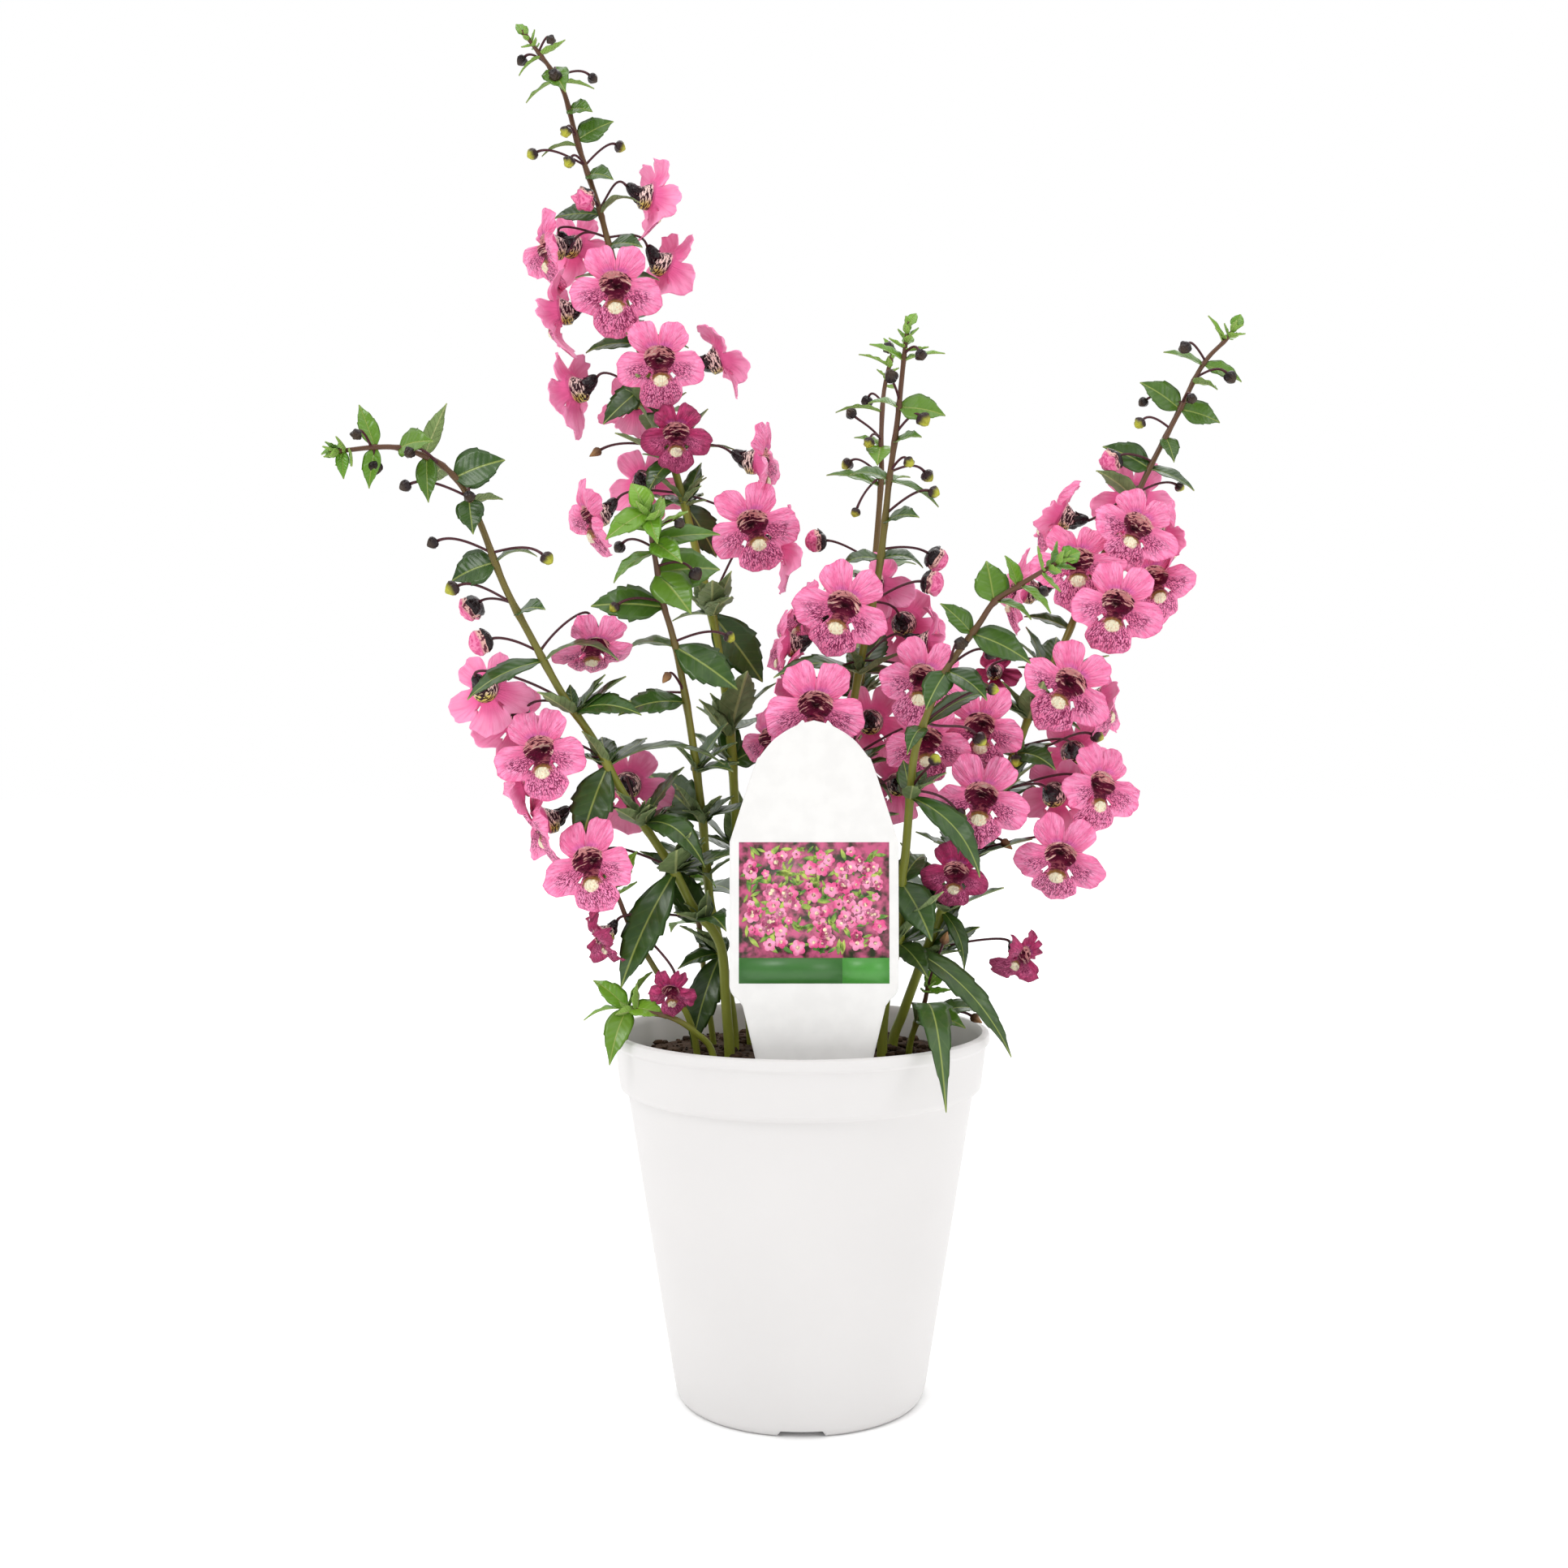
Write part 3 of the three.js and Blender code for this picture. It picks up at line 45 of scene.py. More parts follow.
# Repeatable draws: how the next one is made, how far a drawn phase goes, and where each series starts
DRAW_FACTOR = 16807
DRAW_RANGE = 2147483647
PHASE = 6.3
BUD_SEED = 733
PETAL_SEED = 911
PETAL_SEED_STEP = 37
MOTIF_SEED = 3571
FLOWER_SEED = 4001
FLOWER_SEED_STEP = 53
CRUMB_SEED = 5231
SMALL_LEAF_SEED = 6947
SHADE_SEED = 8117

# Pot: its profile in radius and height, from the floor outside, over the rim, to the floor inside
RIM_RADIUS = 54
POT_HEIGHT = 105.1
STEP_HEIGHT = 88
STEP_RADIUS = 49.45
BASE_RADIUS = 33.2
FOOT_HEIGHT = 1.8
NOTCH_WIDTH = 12.7
NOTCH_INNER = 28.9
NOTCH_OUTER = 35.6
NOTCH_STEP = 0.003
DRAIN_RADIUS = 4
DRAIN_CIRCLE = 20
POT_PROFILE = [
    [12, 0], [12.3, 0.5], [12.8, 1.7], [13.1, 1.8], [28.7, 1.8], [29, 1.7], [29.5, 0.4], [29.8, 0],
    [32.9, 0], [34.2, 0.3], [35.1, 1.2], [35.7, 2.6], [36, 4.3], [36.15, 4.7], [42.6, 45.1], [48.7, 83.6],
    [49.4, 87.8], [49.65, 88.2], [50.6, 88.6], [51.4, 89.2], [51.7, 90.2], [52.4, 96], [53.05, 101.3],
    [53.3, 101.7], [53.85, 102.1], [54, 102.5], [54, 104], [53.8, 104.7], [53.3, 105.05], [52.7, 105.1],
    [52, 105.05], [51.65, 104.6], [51.15, 102.6], [50.6, 96], [50.15, 90.4], [49.7, 89], [48.4, 88],
    [48.1, 86], [41.5, 44.6], [35, 5.4], [34.4, 4], [33.2, 3.2], [20, 3.2],
]

# Soil: dome and edge, waves by scale, layer and height, side in radius and height, rings and crumbs
SOIL_TOP = 97
SOIL_RADIUS = 49
SOIL_ROUGHNESS = 2.2
SOIL_MIDDLE = 97.2
DOME_HEIGHT = 1.1
DOME_RADIUS = 22
DOME_WIDTH = 15
EDGE_DROP = 1.6
EDGE_START = 43
EDGE_WIDTH = 6
SOIL_WAVES = [(0.09, 3, 0.7), (0.3, 7, 0.5)]
SOIL_SIDE = [[32.9, 3.8], [34.1, 5.4], [40, 42], [47.1, 87.5], [48.9, 91.4], [48.9, 95]]
SOIL_RINGS = [48.4, 47, 45, 42.5, 39.5, 36, 32, 28, 24, 20, 16, 12, 8, 4]
CRUMBS = 1100
CRUMB_CIRCLE = 46.5

# Tag: its outline in height and half width, its edge in inset and depth, and its prints
TAG_THICKNESS = 0.8
TAG_FOOT = np.array([3.3, -40.2, 84])
TAG_LEAN = 0.069
TAG_HEIGHT = 109
TAG_HALF_WIDTH = 22.5
TAG_STAKE = [[0, 8], [19, 15.6], [33, 19]]
TAG_SHOULDER = [[34.6, 20.2], [35.5, 21.4], [36.6, 22.1], [38, TAG_HALF_WIDTH]]
TAG_HEAD = [[76.5, TAG_HALF_WIDTH], [96.5, 16], [99.5, 14.3], [104, 10.5], [107.5, 5], [TAG_HEIGHT, 0]]
TAG_EDGE = [(0.9, 0.4), (0.12, 0.4), (0, 0.28), (0, -0.28), (0.12, -0.4), (0.9, -0.4)]
PRINT_HALF_WIDTH = 20
BAND_LOW = 38.9
BED_LOW = 45.7
BED_HIGH = 76.4
BAND_SPLIT = 7.5
LEAF_MOTIFS = 190
FLOWER_MOTIFS = 84
_, PRINT_GROUND, BAND_DARK, BAND_LIGHT, PRINT_FLOWER, PRINT_CENTRE, PRINT_LEAF = range(7)

# Stems and flower stalks
STEM_BASE_RADIUS = 1.6
SHOOT_BASE_RADIUS = 1.1
SHOOT_POINTS = 9
STEM_TIP_RADIUS = 0.6
STEM_THINNING = 0.96
STEM_STEPS = 6
JOINT_SWELL = 0.22
JOINT_LENGTH = 0.11
TIP_MARGIN = 0.15
STALK_SHIFT = 0.15
STALK_SLOPE = 0.25
STALK_PULL = 0.35
STALK_LIFT = 1.5
STALK_LEAD = 0.35
STALK_END_BEND = 0.4
STALK_SEAT = (0, 1.6, -9.6)
STALK_ARCH = (0, 5.2, -13.4)
STALK_RADIUS = 0.36
STALK_BENDS = [
    [0, 0], [0, 3], [3, 0], [-3, 0], [0, -3], [3, 3], [-3, 3], [0, 6], [6, 0], [-6, 0], [6, 4], [-6, 4],
    [0, -6], [5, -5], [-5, -5], [0, 10], [9, 3], [-9, 3],
]
STEM, LEAF_TOP, LEAF_UNDER, CUP, DARK_BUD, GREEN_BUD, PINK_BUD, DRY_BUD, STALK = range(9)

# Flower buds: a dark bud, a large pink bud and a dry seed case
BUD_SIZES = [1.15, 1, 1.4]
BUD_SPREADS = [0.45, 0, 0]
BUD_REACHES = [1, 2.5, 1]
BUD_SEATS = [0.85, 1.9, 0.85]
BUD_NOD = 2.5
STEEP = 0.6
DARK_LENGTH = 25

# Their forms: rows of place, radius and depth of folds; scale along, shift and scale across; share in the cup
BUD_FORMS = [
    {"profile": [
        [-0.9, 0.3, 0], [-0.78, 0.62, 0.2], [-0.5, 0.88, 0.6], [-0.1, 1, 1], [0.3, 0.9, 1], [0.62, 0.64, 1],
        [0.84, 0.36, 1], [1, 0.14, 0.5],
    ], "scales": (1.3, 0.25, 1.42), "sides": 20, "folds": 5, "depth": 0.36, "cup": 0},
    {"profile": [
        [-1.95, 0.5, 0], [-1.7, 1.3, 0.2], [-1.1, 2.05, 0.5], [-0.5, 2.4, 0.9], [-0.2, 2.5, 1],
        [-0.15, 2.2, 0.6], [0.5, 2.5, 0.8], [1.1, 2.55, 1], [1.7, 2.25, 1], [2.3, 1.65, 1], [2.7, 1.0, 1],
        [2.9, 0.3, 0.6],
    ], "scales": (1.35, 0.5, 1.5), "sides": 25, "folds": 5, "depth": 0.34, "cup": 0.365},
    {"profile": [
        [-0.95, 0.3, 0], [-0.75, 0.7, 0.3], [-0.3, 1, 0.6], [0.2, 0.92, 0.8], [0.8, 0.66, 1], [1.3, 0.4, 1],
        [1.9, 0.1, 0.6],
    ], "scales": (1, 0, 1), "sides": 20, "folds": 4, "depth": 0.3, "cup": 0},
]

# Leaves: their bow and fold, where their clearance is tested, and the turns tried to pass other parts
LEAF_KEEL = 0.6
LEAF_LIFT = 0.3
LEAF_BOW = 1.6
LEAST_LEAN = 0.05
SMALL_LEAF = 11
LARGE_LEAF = 19
LEAST_CORNER = 0.45
LEAF_CORNERS = {"small": [0.42, 0.74], "medium": [0.34, 0.62, 0.7], "large": [0.22, 0.46, 0.52, 0.7, 0.76]}
CORNER_WIDTHS = {"small": [1, 0.62], "medium": [1, 0.92, 0.6], "large": [0.74, 1, 0.8, 0.74, 0.5]}
LEAF_TURNS = [
    [0, 0, 1], [9, 0, 1], [-9, 0, 1], [0, 10, 1], [0, -10, 1], [18, 0, 1], [-18, 0, 1], [14, 12, 1],
    [-14, 12, 1], [14, -12, 1], [-14, -12, 1], [0, 22, 1], [0, -22, 1], [30, 0, 0.9], [-30, 0, 0.9],
    [28, 20, 0.9], [-28, 20, 0.9], [45, 0, 0.85], [-45, 0, 0.85], [0, 36, 0.8], [0, -36, 0.8], [0, 0, 0.6],
]

# Outline of a leaf: half width by place, with its teeth, and the rows across its upper and lower side
LEAF_PROFILES = {
    "small": [[0, 0.2], [0.06, 0.5], [0.16, 0.85], [0.3, 1.03], [0.45, 1], [0.6, 0.84], [0.74, 0.6],
              [0.88, 0.3], [1, 0.03]],
    "medium": [[0, 0.16], [0.06, 0.4], [0.17, 0.83], [0.3, 1.03], [0.46, 1.04], [0.62, 0.88], [0.76, 0.58],
               [0.9, 0.24], [1, 0.02]],
    "large": [[0, 0.12], [0.08, 0.34], [0.22, 0.76], [0.38, 1], [0.52, 1], [0.66, 0.82], [0.8, 0.52],
              [0.92, 0.22], [1, 0.02]],
}
LEAF_TEETH = {"small": [0.7], "medium": [0.6, 0.77], "large": [0.5, 0.64, 0.77, 0.88]}
TOOTH_DEPTH = {"small": 0.06, "medium": 0.1, "large": 0.15}
TOOTH_LENGTH = 0.12
TOOTH_CUT = 0.014
LEAF_STEPS = {"small": 13, "medium": 18, "large": 24}
LEAF_FULLNESS = {"small": 1.16, "medium": 1.2, "large": 1.3}
TOP_ACROSS = np.array([-1, -0.72, -0.42, -0.14, 0, 0.14, 0.42, 0.72, 1])
UNDER_ACROSS = np.array([0.84, 0.5, 0.2, 0, -0.2, -0.5, -0.84])

# Young leaves at the end of each stem, by number and length of the outermost, and small leaves in the joints
TIP_TUFTS = {
    "a": [8, 4.5], "b": [9, 6.5], "c": [11, 11], "d1": [10, 6], "d2": [8, 5.5], "e": [10, 8], "f": [9, 6],
    "g": [5, 6], "h": [5, 7], "i": [5, 6], "j": [5, 6],
}
TUFT_TURN = 2.4
TUFT_LENGTH = 0.75
SIDE_LEAVES = 12
LONG_SIDE_LEAVES = 6
LONG_SIDE_LEAF = 1.45
SIDE_LEAF_BEND = 0.6
SIDE_LEAF_LEAN = 30

# Flowers, drawn for a flower radius of 13.5: half the rim in angle, radius and height, and its five lobes
FLOWER_SIZE = 13.5
PETAL_RIM = [
    [0, 0.54, -0.3], [8, 0.82, -0.8], [24, 0.93, -1], [44, 0.91, -0.6], [61, 0.77, -0.1], [72, 0.45, 0.2],
    [80, 0.8, 0.9], [101, 1.04, 1.5], [124, 1.03, 1.2], [143, 0.8, 0.3], [152, 1, -0.5], [180, 1.12, -1],
]
PETAL_WAVE = 0.8
COLUMNS_PER_STEP = 4
LOBE_STARTS = [0, 5, 9, 13, 17]
LOBE_BULGES = [1.0, 1.5, 1.5, 1.5, 1.0]
LOBE_TILTS = [-0.6, 0.4, -0.8, 0.4, -0.6]
TILT_SPREAD = 3.4
TWIST_SPREAD = 2.6
FOLD_SPREAD = 1.8
FOLD_WIDTH = 0.17

# Fresh and aged flowers: share of the full rim, lean and crumple; and the nodes of the aged ones
FRESH_PETALS = (0.955, 1.1, 1.3)
AGED_PETALS = (0.88, 2.1, 3.4)
AGED = ["a11", "b07", "f12", "f18", "f19", "g01"]
FRONT, THROAT, BACK, POUCH = range(4)

# Throat, petals, the slits beside the pad, the pouch and the cup behind it
THROAT_ANGLES = [0, 66, 143, 217, 294]
THROAT_RADII = [0.24, 0.3, 0.22, 0.22, 0.3]
THROAT_BACK_RADII = [0.36, 0.38, 0.27, 0.27, 0.38]
THROAT_LIP = 0.5
THROAT_BACK = -0.9
THROAT_END = (0, 0.4, -2.85)
THROAT_ROWS = [0.28, 0.52, 0.72, 0.87, 0.96]
PETAL_ROWS = [0, 0.05, 0.12, 0.2, 0.28, 0.38, 0.5, 0.62, 0.74, 0.85, 0.93, 0.975, 1]
BACK_ROWS = [0.99, 0.9, 0.76, 0.62, 0.5, 0.38, 0.28, 0.2, 0]
SLIT_ROWS = [0.2, 0.28, 0.38, 0.5]
SLIT_COLUMNS = [[-1, 2], [-2, 1]]
PAD_PLACE = -6.5
PAD_WIDTH = 2.3
PAD_HEIGHT = 1.9
PAD_SWELL = 1.1
POUCH_ROWS = [
    [-2, 4.1, -0.2], [-3.3, 3.8, -0.6], [-4.5, 3.4, -0.9], [-5.3, 2.7, -0.5], [-6.1, 1.9, 0],
    [-6.9, 1.05, 0.5],
]
POUCH_END = (0, 0.8, -7.4)

# Rings of the cup in radius, height, shift, reach and flare of its points; the last ones keep off the pouch
CALYX_RINGS = [
    [0.45, -9.75, 1.6, 0, 0], [1.0, -9.6, 1.55, 0, 0], [1.9, -9.15, 1.4, 0, 0], [2.7, -8.3, 1, 0, 0],
    [3.15, -7.2, 0.5, 0.3, 0.1], [3.1, -6.7, 0, 1.3, 0.65], [3.1, -6.5, -0.3, 2.1, 1.25],
    [2.9, -6.5, -0.3, 2, 1.2], [2.6, -6.9, -0.1, 1.1, 0.5], [1.9, -7.3, 0.4, 0, 0], [0.7, -7.7, 0.8, 0, 0],
]
CALYX_WIDTH = 0.68
CALYX_GAP = 0.5
CALYX_GAP_START = 5

# Gaps kept where leaves and flower stalks pass other parts, and the space that each part is taken to fill
PASSING_GAP = 1
PATH_GAP = 0.9
STEM_REACH = 1.4
LEAF_REACH = 0.8
PETAL_REACH = 1.5
POUCH_REACH = 5
CALYX_REACH = 2.6
STALK_REACH = 0.5
LOBE_CENTRES = [[34, 0.4], [106, 1.9], [180, 1.1], [254, 1.9], [326, 0.4]]
PETAL_TEST_SPOTS = [[0.48, 0], [0.85, -14], [0.9, 0], [0.85, 14]]
PETAL_TEST_BULGE = 0.6
POUCH_TEST_SPOT = (0, -0.4, -3.2)
CALYX_TEST_SPOT = (0, 0.8, -8)

# Camera in metres: a level view, a little above the middle of the plant
CAMERA_PLACE = (-0.0047, -0.5, 0.1846)
CAMERA_PITCH = math.radians(-1.09)
CAMERA_LENS = 40.07

# Studio light by direction: from the camera's side to behind the plant, and what the top adds
WORLD_LEVEL = (-0.7, 0.5, 0.5, 1.0)
WORLD_TOP = (0.45, 0.9, 0, 0.75)

# Lamps by power in watts and place in metres, and half the width of the floor in metres
LAMPS = {"key": (13, (-0.9, -1.3, 1.6)), "fill": (6, (1.5, -1.2, 0.9)), "back": (4, (0.5, 1.5, 1.4))}
LAMP_SIZE = 0.9
LAMP_TARGET = (0, 0, 0.2)
FLOOR_REACH = 6

# How the photograph sees the plant: focal length and middle in pixels, the eye's place and downward tilt
PHOTO_FOCAL = 2150.6
PHOTO_MIDDLE = 966
EYE = (-4.7, -500, 184.6)
EYE_TILT = 0.019

# Steps that places and leaf runs are rounded to, and the height of the roots' ends
PLACE_STEP = 1
RUN_STEP = 0.5
ROOT_LEVEL = 82

# Stems, root to tip: a point of the photograph and its depth
STEM_PICKS = {
    "a": [[925, 1300, 12], [921, 1240, 12], [915, 1150, 12], [908, 1000, 12], [898, 883, 13],
        [877, 758, 16], [855, 676, 19], [836, 597, 21], [810, 500, 24], [790, 430, 26], [770, 361, 28],
        [750, 293, 30], [736, 250, 31], [714, 179, 32], [696, 115, 31], [679, 84, 30], [661, 61, 28],
        [642, 38, 26]],
    "b": [[897, 1300, -10], [896, 1239, -10], [889, 1176, -12], [876, 1146, -13], [856, 1120, -14],
        [833, 1076, -16], [810, 1038, -18], [769, 976, -20], [731, 909, -23], [693, 856, -25],
        [656, 788, -27], [622, 722, -29], [593, 650, -30], [574, 608, -31], [550, 577, -32],
        [525, 562, -33], [491, 551, -35], [462, 549, -36], [431, 553, -38], [404, 555, -40]],
    "c": [[905, 1300, 3], [899, 1239, 2], [882, 1148, -1], [874, 1106, -2], [865, 1000, -5],
        [849, 898, -9], [836, 819, -12], [826, 775, -15], [816, 745, -17], [806, 689, -20],
        [800, 655, -23], [795, 625, -26]],
    "d1": [[1010, 1300, 8], [1012, 1200, 8], [1022, 1100, 6], [1036, 1000, 4], [1048, 900, 2],
        [1064, 798, 0], [1080, 710, -3], [1090, 635, -5], [1097, 590, -6], [1105, 523, -8],
        [1110, 480, -9], [1114, 436, -10], [1118, 395, -12]],
    "d2": [[1018, 1300, 22], [1024, 1200, 22], [1030, 1100, 23], [1038, 1000, 25], [1050, 900, 27],
        [1066, 800, 30], [1078, 690, 33], [1085, 590, 35], [1085, 544, 36], [1091, 480, 38],
        [1100, 428, 38]],
    "e": [[1085, 1300, -8], [1092, 1230, -9], [1110, 1145, -12], [1113, 1087, -15], [1116, 1054, -16],
        [1120, 981, -20], [1128, 926, -23], [1141, 882, -26], [1155, 844, -28], [1169, 819, -30],
        [1203, 770, -34], [1227, 744, -37], [1257, 722, -40], [1281, 707, -43], [1315, 688, -46]],
    "f": [[1100, 1287, 8], [1112, 1250, 8], [1135, 1190, 7], [1165, 1115, 6], [1200, 1040, 6],
        [1228, 975, 7], [1253, 922, 8], [1268, 883, 10], [1290, 835, 12], [1316, 781, 15],
        [1341, 721, 18], [1365, 669, 20], [1398, 614, 22], [1420, 573, 23], [1456, 504, 25],
        [1475, 463, 26], [1491, 439, 27], [1511, 419, 27], [1524, 400, 26]],
    "g": [[858, 1300, -14], [846, 1247, -16], [813, 1206, -18], [775, 1140, -19], [763, 1111, -19],
        [754, 1088, -19]],
    "h": [[880, 1300, -24], [858, 1272, -26], [830, 1256, -27], [800, 1250, -25], [768, 1243, -21]],
    "i": [[1120, 1300, -2], [1128, 1262, -4], [1138, 1235, -7], [1146, 1212, -9]],
    "j": [[880, 1300, 10], [868, 1200, 10], [858, 1120, 9], [850, 1070, 8]],
}

# Flowers: stem, node, point, depth from the stem, azimuth, elevation, roll, radius and, for some, a move
BLOOM_PICKS = [
    ["a", "a01", 808, 243, 3, 115, -5, 0, 13.2, [0, 1, 0]], ["a", "a02", 672, 303, -3, -65, -10, 0, 13],
    ["a", "a03", 708, 305, 13, 150, -5, 0, 12.5], ["a", "a04", 759, 352, -14, 2, -8, 0, 14],
    ["a", "a05", 820, 318, 10, 130, -20, -15, 13.5, [1, 0, -3]],
    ["a", "a02", 683, 385, -2, -95, -5, 0, 13.2], ["a", "a07", 813, 442, -14, 5, -5, -3, 13.5],
    ["a", "a08", 890, 437, 0, 100, 25, -20, 13], ["a", "a02", 704, 487, 4, -115, -10, 0, 13.5, [0, 0, 1]],
    ["a", "a10", 775, 503, 13, 180, -30, 0, 12, [1.5, 2, 1]], ["a", "a11", 833, 535, -13, 0, -5, 0, 11.5],
    ["a", "a12", 940, 560, 0, 80, -5, -15, 13.5, [0, -1, -2]], ["a", "a12", 925, 643, -9, 10, 0, -15, 14],
    ["a", "a12", 975, 672, 4, 95, -5, -15, 13.5, [-1, -1, 0]],
    ["a", "a15", 727, 638, -1, -70, -25, 25, 13], ["a", "a16", 795, 595, 14, 170, 0, 0, 12.5],
    ["b", "b01", 602, 850, 6, 165, -15, 10, 12.5], ["b", "b02", 632, 890, 12, -150, -10, 0, 12.5],
    ["b", "b02", 666, 923, -9, -15, 0, -9, 13.2], ["b", "b02", 638, 968, -1, -80, -20, 0, 12.5],
    ["b", "b02", 665, 1012, 0, -75, -15, -20, 12.5], ["b", "b06", 725, 1059, -14, -20, 0, -12, 13.8],
    ["b", "b07", 741, 1155, -12, -70, -30, -25, 9], ["b", "b08", 775, 965, 16, 180, 0, 0, 13],
    ["b", "b09", 733, 792, 9, 20, -50, 0, 12], ["d1", "d01", 1040, 747, -13, -5, -5, 19, 14],
    ["d1", "d03", 985, 765, 5, -70, 10, 0, 12, [1, 2, 2]], ["d1", "d02", 966, 795, -4, -85, 0, 0, 12],
    ["d1", "d04", 1090, 730, 12, 120, 0, 0, 12, [-1, 0, 2]],
    ["d1", "d05", 1112, 768, 17, 165, 0, 0, 12.5, [1, -1, 0]],
    ["d1", "d05", 1152, 790, 4, 80, 0, 0, 12.5], ["d1", "d07", 1135, 833, -13, 15, 0, 14, 13.5],
    ["d1", "d08", 1005, 868, -23, -3, -5, 2, 14.5], ["d1", "d02", 972, 845, -6, -100, 0, 0, 12],
    ["d1", "d10", 1072, 892, 12, 170, -5, 0, 12.5], ["d1", "d11", 1140, 912, -2, 5, -10, 0, 13],
    ["d1", "d10", 1108, 975, 10, 175, 0, 0, 11.5, [0, 0, 2]], ["d1", "d13", 948, 912, -6, -60, 0, 0, 11],
    ["f", "f01", 1300, 632, 4, -100, 25, 0, 13.5], ["f", "f02", 1396, 612, 13, 175, 10, 0, 13],
    ["f", "f03", 1402, 646, -12, 5, 10, 27, 13.2], ["f", "f04", 1443, 660, 3, 80, 0, 0, 12],
    ["f", "f03", 1330, 690, -9, -5, 15, 0, 14, [0, 1, 0]],
    ["f", "f04", 1412, 692, 4, 10, 0, -15, 13, [1, -3, -5]],
    ["f", "f07", 1377, 744, -13, -3, -3, 14, 14, [0, -2, 0]],
    ["f", "f03", 1253, 722, 0, -85, 10, 20, 13.5, [1, 0, 0]], ["f", "f09", 1317, 842, -13, 0, 0, 32, 14],
    ["f", "f10", 1366, 862, 6, 75, 0, 20, 12.5],
    ["f", "f11", 1322, 918, 13, 165, -5, 0, 12.5, [0, 1, -2]], ["f", "f12", 1227, 828, 6, 160, 0, 0, 8],
    ["f", "f13", 1208, 893, -6, -20, -10, 0, 13.5], ["f", "f14", 1209, 979, -15, -8, -5, 6, 14],
    ["f", "f15", 1354, 966, -6, 30, 0, 9, 13.5], ["f", "f16", 1296, 968, 9, 150, 0, 0, 12.5, [1, -1, -2]],
    ["f", "f17", 1306, 1052, -10, -10, -10, 11, 13.5],
    ["f", "f18", 1173, 1074, -22, 0, 0, 8, 10.5, [1, 0, 0]], ["f", "f19", 1262, 1176, -6, 40, -20, 45, 9],
    ["g", "g01", 829, 1222, -14, -10, -30, 0, 7.5],
]

# Buds: point, depth from the stem, kind (0 dark, 1 large and pink, 2 dry seed case) and, for one, a move
BUD_PICKS = {
    "a": [[680, 48, -4, 0], [642, 76, 4, 0], [685, 94, -6, 0], [731, 97, 4, 0], [697, 163, -6, 0],
        [658, 190, -4, 0], [761, 181, 4, 0], [703, 198, -6, 0], [722, 242, -6, 1], [736, 559, -4, 2]],
    "b": [[439, 534, -4, 0], [464, 576, -4, 0], [506, 557, -6, 0], [501, 600, -4, 0], [580, 611, -6, 0],
        [535, 667, -4, 0], [559, 723, -4, 0], [672, 686, -4.4, 0], [586, 748, 4, 1], [599, 789, -4, 1]],
    "c": [[835, 643, -4, 0], [762, 674, 4, 0], [856, 707, -4, 0], [758, 746, -4, 0], [898, 784, -4, 0],
        [774, 870, 4, 0], [820, 832, -6, 2]],
    "d1": [[1134, 438, -6, 0], [1097, 463, -6, 0], [1139, 514, -4, 0], [1120, 567, -6, 0],
        [1142, 587, 4, 0], [1148, 607, -4, 0], [1151, 686, 4, 1], [1143, 717, -4, 1]],
    "d2": [[1094, 429, -6, 0], [1067, 493, 4, 0], [1051, 509, -4, 0], [1072, 545, -6, 0],
        [1045, 570, 4, 0], [1054, 632, -4, 0], [1009, 666, -4, 1]],
    "e": [[1185, 793, -6, 0], [1284, 729, 4, 0], [1221, 804, 4, 0], [1222, 849, -4, 0], [1208, 910, 4, 0],
        [1153, 935, -4, 0], [1182, 1003, 4, 0]],
    "f": [[1459, 427, -4, 0], [1516, 463, -4, 0], [1409, 494, 4, 0], [1466, 491, -6, 0],
        [1405, 522, -4, 0], [1372, 567, -4, 1], [1454, 599, 4, 0], [1248, 930, -6, 0, [1, 0, -1]],
        [1351, 905, 4, 0], [1238, 1040, -4, 2]],
    "i": [[1162, 1156, -6, 2], [1169, 1247, -4, 2], [1203, 1254, 4, 2]],
}

